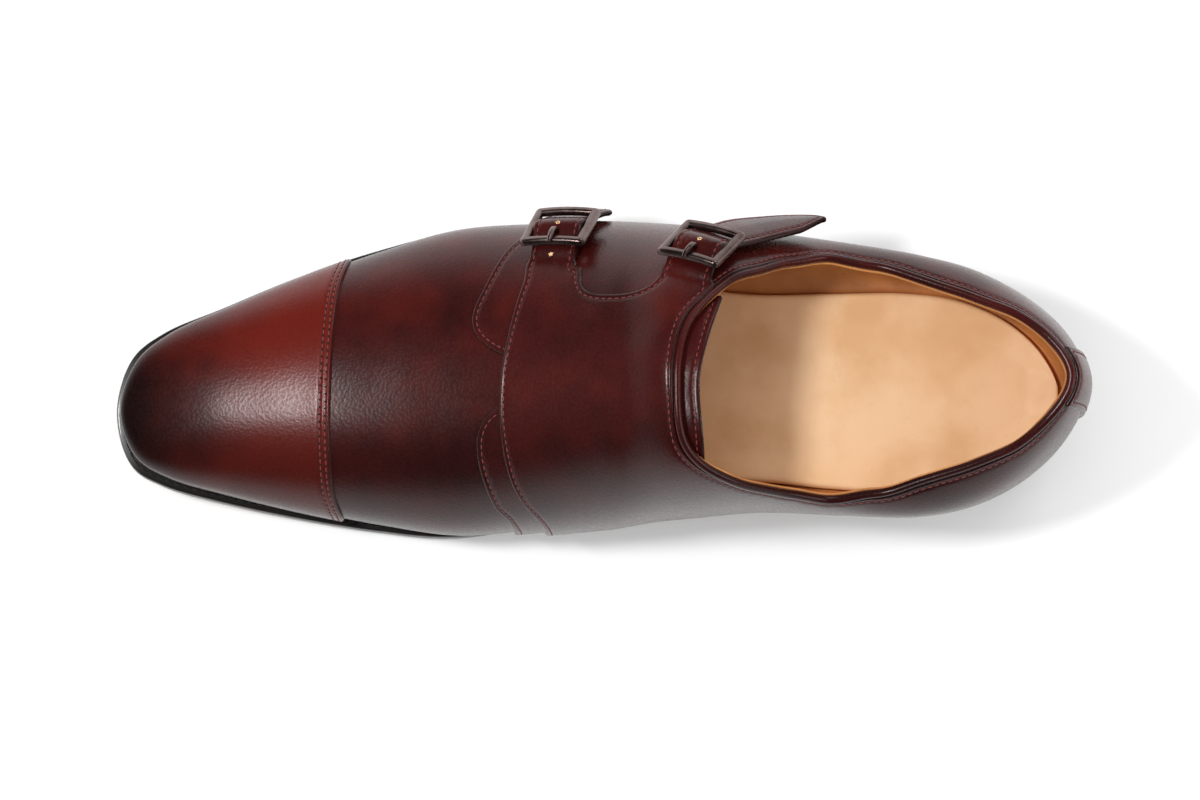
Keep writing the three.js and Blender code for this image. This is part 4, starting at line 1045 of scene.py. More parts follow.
class ShoeSizes(bpy.types.PropertyGroup):
    """Sizes of the leather work."""
    panel: FloatProperty(name="Leather thickness", description="Thickness of each outer leather part",
                         default=0.0012, unit="LENGTH", subtype="DISTANCE")
    strap: FloatProperty(name="Strap thickness", description="Thickness of the folded straps",
                         default=0.0020, unit="LENGTH", subtype="DISTANCE")
    piping: FloatProperty(name="Collar roll", description="Diameter of the rolled collar edge",
                          default=0.0026, unit="LENGTH", subtype="DISTANCE")
    pitch: FloatProperty(name="Stitch pitch", description="Length from one stitch to the next",
                         default=0.0023, unit="LENGTH", subtype="DISTANCE")
    thread: FloatProperty(name="Thread", description="Thickness of the sewing thread",
                          default=0.00050, unit="LENGTH", subtype="DISTANCE")
    bar: FloatProperty(name="Buckle bar", description="Width of the buckle's bars",
                       default=0.0028, unit="LENGTH", subtype="DISTANCE")
    around: IntProperty(name="Mesh steps", description="Steps along the last in each leather part",
                        default=250, min=60, max=400)


class ShoeColours(bpy.types.PropertyGroup):
    """Colours of the shoe."""
    calf: FloatVectorProperty(name="Calf", description="Main leather", subtype="COLOR",
                              default=srgb("3e0e0b"))
    calf_deep: FloatVectorProperty(name="Deep calf", description="Darker patches of the leather",
                                   subtype="COLOR", default=srgb("2b0807"))
    cap_red: FloatVectorProperty(name="Cap red", description="Warm red near the cap's seam",
                                 subtype="COLOR", default=srgb("5c150b"))
    # Dark polish at the toe, also used as painted shade along edges, towards the sole and on the inner
    # side
    burnish_and_shade: FloatVectorProperty(name="Burnish", description="Dark polish at the toe and edges",
                                 subtype="COLOR", default=srgb("0e0202"))
    # Tan lining, darkened partly as painted shade for the inside of the shoe
    lining: FloatVectorProperty(name="Lining", description="Leather inside the shoe",
                                subtype="COLOR", default=srgb("c58449"))
    sock: FloatVectorProperty(name="Sock", description="Leather under the foot",
                              subtype="COLOR", default=srgb("f3cb9e"))
    sole: FloatVectorProperty(name="Sole", description="Leather of the tread",
                              subtype="COLOR", default=srgb("7a4c2b"))
    metal: FloatVectorProperty(name="Buckles", description="Plating of the buckles",
                               subtype="COLOR", default=srgb("6f5f5c"))
    thread: FloatVectorProperty(name="Thread", description="Sewing thread",
                                subtype="COLOR", default=srgb("6f2b28"))


class SHOE_OT_upper(bpy.types.Operator):
    """Builds the vamp with its outer leather, and the lining inside it"""
    bl_idname = "shoe.upper"
    bl_label = "Vamp and lining"

    def execute(self, context):
        made = materials()
        count = context.scene.shoe_sizes.around
        vamp = cut_sheet("vamp", np.linspace(0, 1, count), rise_steps(*FULL_RISE, 42),
                         lambda spots: spots.distance(top_field(0.0)),
                         lambda d, p: soft_relief(p) - VAMP_ROUND * (1 - rounded(d, VAMP_ROUND)),
                         lambda d, p: (-VAMP_THICKNESS + VAMP_ROUND * (1 - rounded(d, VAMP_ROUND))
                                       + soft_relief(p)),
                         (0.1, VAMP_ROUND))
        finish_piece(vamp, "calf", ("upper",), made["calf"])
        lining = cut_sheet("lining", np.linspace(0, 1, 160), rise_steps(*FULL_RISE, 30),
                           lambda spots: spots.distance(top_field(LINING_RISE)),
                           lambda d, p: -LINING_FACE - LINING_ROUND * (1 - rounded(d, LINING_ROUND)),
                           lambda d, p: -WALL + LINING_ROUND * (1 - rounded(d, LINING_ROUND)),
                           (LINING_ROUND,))
        finish_piece(lining, "sock_leather", (), made["lining"])
        return {"FINISHED"}


class SHOE_OT_panels(bpy.types.Operator):
    """Builds the cap, quarter, facing and back strip that lie over the vamp"""
    bl_idname = "shoe.panels"
    bl_label = "Cap, quarter and facing"

    def execute(self, context):
        made = materials()
        thick = context.scene.shoe_sizes.panel * 1000

        def overlay(name, outline, low, along, rise, rows, slot, node, material):
            field = plan_field(outline)
            edge = top_field(-PANEL_DROP)

            def region(spots):
                return [np.minimum(a, b) for a, b in zip(spots.distance(field), spots.distance(edge))]
            piece = cut_sheet(name, along, rise, region,
                              lambda d, p: (low + thick * rounded(d, EDGE_ROUND)
                                            - stitch_dip(d, rows) + soft_relief(p)),
                              lambda d, p: low - PANEL_BED * rounded(d, EDGE_ROUND) + soft_relief(p),
                              edge_levels(EDGE_ROUND, rows), rows)
            finish_piece(piece, slot, (node,), material)

        overlay("toe_cap_leather", cap_outline(), 0.0, np.linspace(0, 0.36, 110),
                rise_steps(*FULL_RISE, 40), CAP_ROWS, "cap_calf", "toe_cap", made["cap"])
        overlay("outer_quarter_leather", outer_quarter_outline(), 0.0, np.linspace(0.3, 1, 200),
                rise_steps(-1.3, 1.3, 46), (QUARTER_ROW,), "calf", "outer_quarter", made["calf"])
        overlay("inner_facing_leather", inner_facing_outline(), 0.0, np.linspace(0.3, 0.62, 100),
                rise_steps(0.9, 3.3, 46), (FACING_ROW,), "calf", "inner_facing", made["calf"])
        half, start = BACK_STRIP_WIDTH / 2, BACK_STRIP_START * LAST_LENGTH
        strip = ((start, HEEL_Y - half), (FAR_X, HEEL_Y - half), (FAR_X, HEEL_Y + half),
                 (start, HEEL_Y + half))
        overlay("back_strip_leather", strip, thick, np.linspace(BACK_STRIP_START, 1, 60),
                rise_steps(*FULL_RISE, 46), (BACK_STRIP_ROW,), "calf", "back_strip", made["calf"])
        return {"FINISHED"}


class SHOE_OT_flap(bpy.types.Operator):
    """Builds the flap over the instep with both straps in one sheet"""
    bl_idname = "shoe.flap"
    bl_label = "Flap and straps"

    def execute(self, context):
        made = materials()
        sizes = context.scene.shoe_sizes
        thick, strap_thick = sizes.panel * 1000, sizes.strap * 1000
        flap_edge = plan_field(flap_outline())
        topline = top_field(-PANEL_DROP)

        def region(spots):
            flap = [np.minimum(a, b) for a, b in zip(spots.distance(flap_edge), spots.distance(topline))]
            for line in STRAP_LINES:
                for k, points in enumerate(spots.points):
                    near, at = strap_nearest(line, points)
                    wide = 0.5 * STRAP_WIDTH * through(line[0][:, 0], line[0][:, 4], at)
                    flap[k] = blend_max(flap[k], wide - near, STRAP_FILLET)
            return flap

        def flap_low(points):
            """Height of the flap's underside: on the facing, and further back on the vamp."""
            x, y = points[:, 0] / LAST_LENGTH, points[:, 1] / BALL_WIDTH
            back = smooth(x, FLAP_DROP_START, FLAP_DROP_END) * smooth(-y, 0, FLAP_DROP_ACROSS)
            return thick * (1 - np.maximum(back, smooth(x, HEEL_DROP_START, HEEL_DROP_END)))

        def strap_state(points):
            """How far each point belongs to a strap, and that strap's height there."""
            belongs, height = np.zeros(len(points)), np.zeros(len(points))
            for index, line in enumerate(STRAP_LINES):
                near, at = strap_nearest(line, points)
                root = STRAPS[index][3]
                share = smooth(at, 0.0, root) * (1 - smooth(near, STRAP_WIDTH * 0.6, STRAP_WIDTH))
                height = np.where(share > belongs, strap_lift(index, at), height)
                belongs = np.maximum(belongs, share)
            return belongs, height

        def heights(distance, points, upper):
            belongs, lift = strap_state(points)
            low = flap_low(points) + soft_relief(points)
            edge = rounded(distance, EDGE_ROUND)
            dip = stitch_dip(distance, (FLAP_ROW,))
            flat = low + thick * edge - dip if upper else low - PANEL_BED * edge
            # The strap is a little domed and its edges are turned under
            dome = STRAP_DOME * np.clip(distance / (STRAP_WIDTH / 2), 0, 1)
            half = 0.5 * strap_thick * rounded(distance, STRAP_ROUND)
            free = lift + half + dome - dip if upper else lift - half + dome
            return flat + (free - flat) * belongs

        along = np.concatenate([np.linspace(0.36, 0.74, 210), np.linspace(0.74, 1, 60)[1:]])
        rise = np.concatenate([np.linspace(0, 0.8, 84), np.linspace(0.8, 3.3, 110)[1:]])
        flap = cut_sheet("flap_and_straps", along, rise, region,
                         lambda d, p: heights(d, p, True), lambda d, p: heights(d, p, False),
                         edge_levels(STRAP_ROUND, (FLAP_ROW,)), (FLAP_ROW,), side=1)
        finish_piece(flap, "calf", ("strap_flap", "front_strap", "rear_strap"), made["calf"],
                     made["lining"])
        self.pinholes(made, 0.5 * strap_thick)
        return {"FINISHED"}

    def pinholes(self, made, half):
        """Spare holes of each strap, punched through to the pale inside of the leather."""
        for index, (name, table, buckle, _) in enumerate(STRAPS):
            holes = []
            for offset in SPARE_HOLES[name]:
                at = np.array([buckle + offset / STRAP_LENGTHS[index]])
                spots = Spots(strap_path(table, at))
                out = spots.normal[0]
                middle = spots.points[0][0] + out * (strap_lift(index, at)[0] + half + HOLE_LIFT)
                _, run, across, _ = (v[0] for v in strap_frames(table, at))
                # The leather tears a little star-shaped
                turn = np.linspace(0, 2 * math.pi, 10, endpoint=False)
                star = 1 + 0.25 * np.cos(5 * turn)
                rings = [[middle + (across * math.cos(a) + run * math.sin(a)) * radius * s
                          + out * height for a, s in zip(turn, star)]
                         for radius, height in HOLE_PROFILE]
                holes.append(loft(f"{name}_hole", rings, caps="ngon"))
            piece = join(f"{name}_strap_holes", holes)
            finish_piece(piece, "sock_leather", (), made["sock"])


class SHOE_OT_tongue(bpy.types.Operator):
    """Builds the tongue under the facings"""
    bl_idname = "shoe.tongue"
    bl_label = "Tongue"

    def execute(self, context):
        made = materials()
        edge = edge_points(TONGUE_REAR)
        front = TONGUE_FRONT * LAST_LENGTH
        field = plan_field(np.concatenate([edge, [(front, edge[-1, 1]), (front, edge[0, 1])]]))
        half = TONGUE_THICKNESS / 2
        piece = cut_sheet("tongue_leather", np.linspace(0.36, 0.72, 110), rise_steps(0.2, 1.9, 70),
                          lambda spots: spots.distance(field),
                          lambda d, p: (-WALL - GAP - half * (1 - rounded(d, EDGE_ROUND))
                                        - stitch_dip(d, (TONGUE_ROW,))),
                          lambda d, p: (-WALL - GAP - TONGUE_THICKNESS
                                        + half * (1 - rounded(d, EDGE_ROUND))),
                          edge_levels(EDGE_ROUND, (TONGUE_ROW,)), (TONGUE_ROW,), side=1)
        finish_piece(piece, "calf", ("tongue",), made["calf"], made["lining"])
        return {"FINISHED"}


def topline_loop():
    """Points along the topline on the last, with the surface's outward direction."""
    places, faces = grid(np.linspace(0.45, 1, 260), rise_steps(-0.2, 2.2, 60))
    value = Spots(places).distance(top_field(0.0))[0]
    places, faces, value = slice_at(places, faces, value, 0.0)
    spots = Spots(places)
    first, number = weld(spots.points[0])
    edges = corner_pairs(faces)
    edges = number[edges[(np.abs(value) < 1e-6)[edges].all(1)]]
    edges = np.unique(np.sort(edges[edges[:, 0] != edges[:, 1]], axis=1), axis=0)
    run = max(chains(edges.tolist()), key=len)
    return spots.points[0][first][run], spots.normal[first][run]


# The collar roll's middle over the last and above the topline, and its width over its height
COLLAR_OUT = 0.35
COLLAR_UP = 0.75
COLLAR_WIDER = 1.12


class SHOE_OT_collar(bpy.types.Operator):
    """Builds the rolled edge around the collar"""
    bl_idname = "shoe.collar"
    bl_label = "Collar roll"

    def execute(self, context):
        made = materials()
        radius = context.scene.shoe_sizes.piping * 500
        points, normal = resampled(*topline_loop(), 1.0, 6)
        points, normal = points[:-1], normal[:-1]
        run = unit(np.roll(points, -1, 0) - np.roll(points, 1, 0))
        up = unit(np.cross(run, normal))
        up *= np.sign(up[:, 2:3] + 1e-9)
        out = unit(np.cross(up, run))
        out *= np.sign((out * normal).sum(1, keepdims=True))
        # One ring of points the whole way round the collar for each step around the roll
        rings = [points + out * (COLLAR_OUT + COLLAR_WIDER * radius * math.cos(t))
                 + up * (COLLAR_UP + radius * math.sin(t))
                 for t in np.linspace(0, 2 * math.pi, 20, endpoint=False)]
        piece = loft("collar_roll", rings, closed=True, sharp=80)
        layer = piece.data.attributes.new("edge_mm", "FLOAT", "POINT")
        layer.data.foreach_set("value", np.full(len(piece.data.vertices), 5.0, np.float32))
        finish_piece(piece, "calf", ("collar_binding",), made["calf"])
        return {"FINISHED"}


# Rounded edges as (inset, height): of the outsole from its underside up, of the welt, and of the
# rubber top piece. A heel lift's are (share of its height, inset).
OUTSOLE_PROFILE = ((4.0, 0.0), (1.3, 0.0), (0.6, 0.12), (0.15, 0.5), (0.0, 1.1), (0.0, 3.9),
                   (0.12, 4.5), (0.45, 4.95), (3.0, 5.0))
WELT_PROFILE = ((1.0, 0.0), (0.35, 0.12), (0.1, 0.5), (0.05, 1.0), (0.05, 2.2), (0.3, 2.85),
                (0.9, 3.1))
RUBBER_PROFILE = ((1.3, 0.0), (0.5, 0.1), (0.1, 0.5), (0.0, 1.0), (0.0, 5.4), (0.1, 5.8),
                  (0.4, 5.99))
LIFT_PROFILE = ((0.0, 0.22), (0.03, 0.04), (0.08, 0.0), (0.92, 0.0), (0.97, 0.04), (1.0, 0.22))
# The welt's gap over the outsole, and how far it reaches in under the foot
WELT_SEAT = 0.05
WELT_INWARD = 2.6
# The sock's edge from the foot's, and how high and how far in from it the sock is cupped
SOCK_INSET = 1.9
SOCK_CUP = 2.4
SOCK_CUP_REACH = 11
# How far the sock's edge is rounded down, and how far the sock lies below the insole's top
SOCK_EDGE_DROP = 0.7
SOCK_SINK = 0.5
HEEL_BREAST_HOLLOW = 2.2


class SHOE_OT_sole(bpy.types.Operator):
    """Builds the outsole, welt and insole with its sock"""
    bl_idname = "shoe.sole"
    bl_label = "Sole and sock"

    def execute(self, context):
        made = materials()
        outline_steps = 360
        place = np.arange(outline_steps) / outline_steps

        def ring(inset, height):
            p = sole_edge(place, inset)
            return np.column_stack([p, bottom_at(p[:, 0]) + height])
        outsole = loft("outsole_leather", [ring(*step) for step in OUTSOLE_PROFILE], sharp=50)
        finish_piece(outsole, "sole_leather", ("outsole",), made["edge"], made["sole"])
        # The tread is brown and the edge black
        down = [f.normal.z < -0.9 for f in outsole.data.polygons]
        outsole.data.polygons.foreach_set("material_index", np.array(down, np.int32))

        deep = margin_at(closed_curve(SOLE_RING, place)[:, 0]) + WELT_INWARD
        low = SOLE_THICKNESS + WELT_SEAT
        high = low + WELT_PROFILE[-1][1]
        rings = [ring(inset, low + height) for inset, height in WELT_PROFILE]
        rings += [ring(deep, high), ring(deep, low)]
        welt = loft("welt_leather", rings, closed=True, sharp=50)
        finish_piece(welt, "sole_edge", ("welt", "heel_rand"), made["edge"])

        # Sock: cupped up a little where it meets the walls
        along = np.linspace(0, 1, 200)
        share = np.linspace(0, 1, 61)
        outer, inner = (sole_edge(at, margin_at(closed_curve(SOLE_RING, at)[:, 0]) + SOCK_INSET)
                        for at in (along / 2, 1 - along / 2))
        top, low_side = [], []
        for a, b in zip(outer, inner):
            width = np.linalg.norm(a - b)
            p = a + (b - a) * share[:, None]
            border = np.minimum(share, 1 - share) * width
            border = np.minimum(border, np.minimum(p[:, 0] - outer[0, 0], outer[-1, 0] - p[:, 0]) + 0.01)
            cup = (SOCK_CUP * (1 - smooth(border, 0, SOCK_CUP_REACH))
                   - SOCK_EDGE_DROP * (1 - rounded(border, EDGE_ROUND)))
            seat = seat_at(p[:, 0])
            top.append(np.column_stack([p, seat + INSOLE_THICKNESS + cup - SOCK_SINK]))
            low_side.append(np.column_stack([p, seat - WELT_THICKNESS]))
        points = np.concatenate([np.concatenate(top), np.concatenate(low_side)])
        rows, cols = len(along), len(share)
        half = rows * cols
        faces = []
        for i in range(rows - 1):
            for j in range(cols - 1):
                a, b = i * cols + j, (i + 1) * cols + j
                faces.append((a, a + 1, b + 1, b))
                faces.append((a + half, b + half, b + 1 + half, a + 1 + half))
        for i in range(rows - 1):
            for j in (0, cols - 1):
                a, b = i * cols + j, (i + 1) * cols + j
                faces.append((a, b, b + half, a + half) if j == 0 else (a, a + half, b + half, b))
        sock = make_mesh("sock_and_insole", points, faces)
        tidy = bmesh.new()
        tidy.from_mesh(sock.data)
        bmesh.ops.remove_doubles(tidy, verts=tidy.verts, dist=2e-6)
        bmesh.ops.recalc_face_normals(tidy, faces=tidy.faces)
        tidy.to_mesh(sock.data)
        tidy.free()
        finish_piece(sock, "sock_leather", ("insole",), made["sock"])
        return {"FINISHED"}


def heel_outline(inset, extra):
    """D-shaped outline of the heel block, moved in by inset, and by extra at its breast, which
    is slightly hollow."""
    breast = LAST_LENGTH - HEEL_OVERHANG - HEEL_LENGTH
    ring = sole_edge(np.linspace(0.3, 0.7, 4001), inset)
    ring = ring[ring[:, 0] > breast + extra]
    ring = ring[np.linspace(0, len(ring) - 1, 121).round().astype(int)]
    a, b = ring[-1], ring[0]
    t = np.linspace(0, 1, 26)[1:-1, None]
    line = a + (b - a) * t
    line[:, 0] += HEEL_BREAST_HOLLOW * (1 - (2 * t[:, 0] - 1) ** 2)
    return np.concatenate([ring, line])


class SHOE_OT_heel(bpy.types.Operator):
    """Builds the stacked heel with its rubber top piece"""
    bl_idname = "shoe.heel"
    bl_label = "Heel"

    def execute(self, context):
        made = materials()
        floor = RUBBER_LIFT + 0.05
        rings = []
        for k in range(HEEL_LIFTS):
            for step, inset in LIFT_PROFILE:
                outline = heel_outline(inset + 0.1, inset)
                share = (k + step) / HEEL_LIFTS
                high = bottom_at(outline[:, 0]) - 0.02 - floor
                rings.append(np.column_stack([outline, floor + high * share]))
        stack = loft("heel_stack", rings, caps="ngon", sharp=40)
        lifts = [f"heel_lift_{k + 1}" for k in range(HEEL_LIFTS)]
        finish_piece(stack, "heel_leather", lifts, made["edge"])
        rings = []
        for inset, z in RUBBER_PROFILE:
            outline = heel_outline(inset, inset)
            rings.append(np.column_stack([outline, np.full(len(outline), z)]))
        rubber = loft("heel_top_piece_rubber", rings, caps="ngon", sharp=40)
        finish_piece(rubber, "heel_rubber", ("heel_top_piece",), made["rubber"])
        return {"FINISHED"}


def local_frame(table, at):
    """Point and axes on a strap: across it, back towards the flap, and out of the shoe."""
    here, run, across, out = (v[0] for v in strap_frames(table, at))
    return here, across, -run, out


def placed(axes, local):
    """Points in mm on the last, from points given on a strap's own axes."""
    here, x, y, z = axes
    local = np.asarray(local)
    return here + local[..., 0:1] * x + local[..., 1:2] * y + local[..., 2:3] * z


def tube(name, path, radii, up, sides=12):
    """Round bar along a path of points, closed at both ends. up is a direction across the path."""
    path = np.asarray(path, float)
    run = unit(np.gradient(path, axis=0))
    rings = []
    for p, t, r in zip(path, run, radii):
        side = unit(np.cross(t, up))
        lift = np.cross(side, t)
        turn = np.linspace(0, 2 * math.pi, sides, endpoint=False)
        rings.append([p + side * r * math.cos(a) + lift * r * math.sin(a) for a in turn])
    return loft(name, rings, caps="ngon", sharp=60)


# Section of the frame's bars, from the outer face round: inset and height
BAR_PROFILE = ((0.0, 0.5), (0.0, 1.6), (0.2, 2.05), (0.55, 2.35), (0.8, 2.4), (1.6, 2.4),
               (1.85, 2.35), (2.2, 2.05), (2.4, 1.6), (2.4, 0.5), (2.1, 0.12), (1.2, 0.0),
               (0.3, 0.12))


class SHOE_OT_buckles(bpy.types.Operator):
    """Builds both buckles with their prongs and elastics"""
    bl_idname = "shoe.buckles"
    bl_label = "Buckles"

    def execute(self, context):
        made = materials()
        bar = context.scene.shoe_sizes.bar * 1000
        outline = self.outline()
        for name, table, at, _ in STRAPS:
            axes = local_frame(table, at)
            rings = []
            for inset, height in BAR_PROFILE:
                loop = []
                for cx, cy, dx, dy in outline:
                    reach = BUCKLE_CORNER - inset * bar / SECTION_WIDTH
                    x, y = cx + dx * reach, cy + dy * reach
                    arch = BUCKLE_ARCH * (1 - (2 * x / BUCKLE_WIDTH) ** 2)
                    loop.append((x, y, FRAME_LOW + height + arch - BUCKLE_ARCH / 2))
                rings.append(placed(axes, loop))
            frame_ring = loft(f"{name}_frame", rings, closed=True, sharp=35)
            under = FRAME_LOW - MIDDLE_BAR_RADIUS
            end = (BUCKLE_WIDTH - bar) / 2
            centre = [(x, 0.0, under) for x in np.linspace(-end, end, 9)]
            middle_bar = tube(f"{name}_middle_bar", placed(axes, centre),
                              np.full(len(centre), MIDDLE_BAR_RADIUS), axes[3])
            buckle = join(f"{name}_buckle_frame", [frame_ring, middle_bar])
            finish_piece(buckle, "buckle_metal", (f"{name}_buckle",), made["metal"])
            # The prong hooks over the middle bar, comes up past the strap and lies on the frame
            over = FRAME_LOW + SECTION_HEIGHT + 1.2
            path = [(0, -1.2, under - 0.2), (0, -0.9, under + 0.9), (0, 2.6, 0.2), (0, 3.6, 1.4),
                    (0, 4.5, 2.6), (0, 5.8, over + 0.2), (0, 7.6, over + 0.3),
                    (0, 10.0, over - 0.1), (0, 11.6, over - 1.0)]
            radii = (0.8, 0.85, 0.9, 0.95, 1.0, 1.0, 0.95, 0.85, 0.55)
            prong = tube(f"{name}_prong_pin", placed(axes, path), radii, axes[1], sides=14)
            finish_piece(prong, "buckle_metal", (f"{name}_prong",), made["metal"])
            self.elastic(name, table, at, made)
        return {"FINISHED"}

    def outline(self):
        """The frame's rounded outline: centres of its corners, and directions out of them."""
        far_x, far_y = BUCKLE_WIDTH / 2 - BUCKLE_CORNER, BUCKLE_DEPTH / 2 - BUCKLE_CORNER
        corners = []
        for cx, cy, start in ((1, 1, 0), (-1, 1, 90), (-1, -1, 180), (1, -1, 270)):
            for step in np.linspace(0, 90, 7):
                angle = math.radians(start + step)
                corners.append(np.array((cx * far_x, cy * far_y, math.cos(angle), math.sin(angle))))
        filled = []
        for one, two in zip(corners, corners[1:] + corners[:1]):
            steps = 8 if np.abs(two[:2] - one[:2]).sum() > 1 else 1
            filled += [one + (two - one) * t / steps for t in range(steps)]
        return filled

    def elastic(self, name, table, at, made):
        """Braided elastic from the middle bar down to the quarter behind the buckle."""
        reach, aside = ELASTICS[name]
        share = np.linspace(0, 1, 40)
        t = np.linspace(at, at + reach, len(share))
        spots = Spots(strap_path(table, t))
        lift = ELASTIC_END_LIFT + ELASTIC_DROP * (1 - smooth(share, 0.0, 0.45))
        side = aside * smooth(share, 0.0, 0.6)
        wide = strap_frames(table, t)[2]
        spine = spots.points[0] + spots.normal * lift[:, None] + wide * side[:, None]
        # Five ribs across, which run on at a slant from ring to ring
        j = np.linspace(-1, 1, 45)
        rings = []
        for k, (p, w, n) in enumerate(zip(spine, wide, spots.normal)):
            braid = BRAID_RELIEF * np.sin(j * 5 * math.pi + k * math.pi / 2)
            ends = ELASTIC_HALF_THICKNESS * np.sqrt(np.maximum(0.02, 1 - j ** 8))
            middle = p + w * (ELASTIC_HALF_WIDTH * j)[:, None]
            top = middle + n * (ends + braid)[:, None]
            low = (middle - n * (ends - braid * 0.3)[:, None])[::-1]
            rings.append(np.concatenate([top, low]))
        piece = loft(f"{name}_elastic_braid", rings, caps="ngon", sharp=70)
        finish_piece(piece, "elastic", (f"{name}_elastic",), made["elastic"])


def stitch_tree():
    """Geometry nodes: stitches at even steps along a run of edges, with flat dark discs between them as
    painted shade for the needle holes.
    """
    tree = bpy.data.node_groups.new("stitch_row", "GeometryNodeTree")
    face = tree.interface
    face.new_socket(name="Runs", in_out="INPUT", socket_type="NodeSocketGeometry")
    for title in ("Pitch", "Thread", "Length Share", "Hole"):
        face.new_socket(name=title, in_out="INPUT", socket_type="NodeSocketFloat")
    for title in ("Thread Material", "Hole Material"):
        face.new_socket(name=title, in_out="INPUT", socket_type="NodeSocketMaterial")
    face.new_socket(name="Stitches", in_out="OUTPUT", socket_type="NodeSocketGeometry")
    entry = add_node(tree, "NodeGroupInput")
    runs, pitch, thread, length, hole, cord, dark = entry.outputs[:7]
    curve = add_node(tree, "GeometryNodeMeshToCurve", Mesh=runs)
    half = maths(tree, "MULTIPLY", pitch, 0.5)
    even = add_node(tree, "GeometryNodeResampleCurve", {"mode": "LENGTH"}, Curve=curve.outputs[0])
    tree.links.new(half, even.inputs["Length"])
    out = add_node(tree, "GeometryNodeInputNamedAttribute", {"data_type": "FLOAT_VECTOR"}, Name="out")
    ahead = add_node(tree, "GeometryNodeInputTangent")
    first = add_node(tree, "FunctionNodeAlignRotationToVector", {"axis": "X"},
                     Vector=ahead.outputs[0])
    turn = add_node(tree, "FunctionNodeAlignRotationToVector", {"axis": "Z", "pivot_axis": "X"},
                    Rotation=first.outputs[0], Vector=out.outputs[0])
    index = add_node(tree, "GeometryNodeInputIndex")
    odd = maths(tree, "MODULO", index.outputs[0], 2.0)
    joined = add_node(tree, "GeometryNodeJoinGeometry")
    ball = add_node(tree, "GeometryNodeMeshUVSphere", Segments=8, Rings=5, Radius=1.0)
    long = maths(tree, "MULTIPLY", maths(tree, "MULTIPLY", pitch, length), 0.5)
    thick = maths(tree, "MULTIPLY", thread, 0.5)
    # The second kind is a flat dark disc between stitches: painted shade standing in for a needle hole
    sizes = ((long, thick, thick, maths(tree, "LESS_THAN", odd, 0.5), cord),
             (maths(tree, "MULTIPLY", hole, 0.5), maths(tree, "MULTIPLY", hole, 0.5),
              maths(tree, "MULTIPLY", hole, 0.16), maths(tree, "GREATER_THAN", odd, 0.5), dark))
    for a, b, c, chosen, material in sizes:
        size = add_node(tree, "ShaderNodeCombineXYZ", X=a, Y=b, Z=c)
        spread = add_node(tree, "GeometryNodeInstanceOnPoints", Points=even.outputs[0],
                          Selection=chosen, Instance=ball.outputs[0], Rotation=turn.outputs[0],
                          Scale=size.outputs[0])
        real = add_node(tree, "GeometryNodeRealizeInstances", Geometry=spread.outputs[0])
        soft = add_node(tree, "GeometryNodeSetShadeSmooth", Geometry=real.outputs[0])
        dyed = add_node(tree, "GeometryNodeSetMaterial", Geometry=soft.outputs[0], Material=material)
        tree.links.new(dyed.outputs[0], joined.inputs[0])
    leave = add_node(tree, "NodeGroupOutput")
    tree.links.new(joined.outputs[0], leave.inputs[0])
    return tree


def sew(name, tree, runs, slot, pitch, thread, length, hole, materials_used, lift=0.06):
    """Stitches along runs of (points, outward directions), baked to one mesh. length is a
    stitch's share of the pitch, and lift in mm raises its middle over the leather."""
    points, outs, edges = [], [], []
    for run, normal in runs:
        run, normal = resampled(run, normal, 0.7, 2)
        start = len(points)
        points.extend(run + normal * lift)
        outs.extend(normal)
        edges.extend((start + k, start + k + 1) for k in range(len(run) - 1))
    mesh = bpy.data.meshes.new(name)
    mesh.from_pydata(to_frame(points).tolist(), edges, [])
    layer = mesh.attributes.new("out", "FLOAT_VECTOR", "POINT")
    layer.data.foreach_set("vector", np.array(outs, np.float32).ravel())
    rough = bpy.data.objects.new(f"{name}_runs", mesh)
    bpy.context.scene.collection.objects.link(rough)
    modifier = rough.modifiers.new("stitches", "NODES")
    modifier.node_group = tree
    names = {s.name: s.identifier for s in tree.interface.items_tree if s.in_out == "INPUT"}
    for title, value in (("Pitch", pitch), ("Thread", thread), ("Length Share", length),
                         ("Hole", hole), ("Thread Material", materials_used[0]),
                         ("Hole Material", materials_used[1])):
        modifier[names[title]] = value
    ready = rough.evaluated_get(bpy.context.evaluated_depsgraph_get())
    baked = bpy.data.meshes.new_from_object(ready)
    piece = bpy.data.objects.new(name, baked)
    bpy.context.scene.collection.objects.link(piece)
    bpy.data.objects.remove(rough)
    return finish_piece(piece, slot, ())


# Bracket at the foot of the inner facing, and the tack that holds the rear elastic, as shares of
# the length and rises, with their height over the last
SHORT_SEAMS = (
    ("bracket_stitches", ((0.4415, 2.43), (0.4415, 2.52), (0.4560, 2.52), (0.4560, 2.43)), 1.25),
    ("tack_stitches", ((0.704, 0.37), (0.712, 0.36), (0.704, 0.35), (0.712, 0.34)), 0.1))
# The welt is sewn round the forepart, up to this share of the length, at this height over the sole
WELT_SEAM_REAR = 0.5
WELT_SEAM_LIFT = 3.15


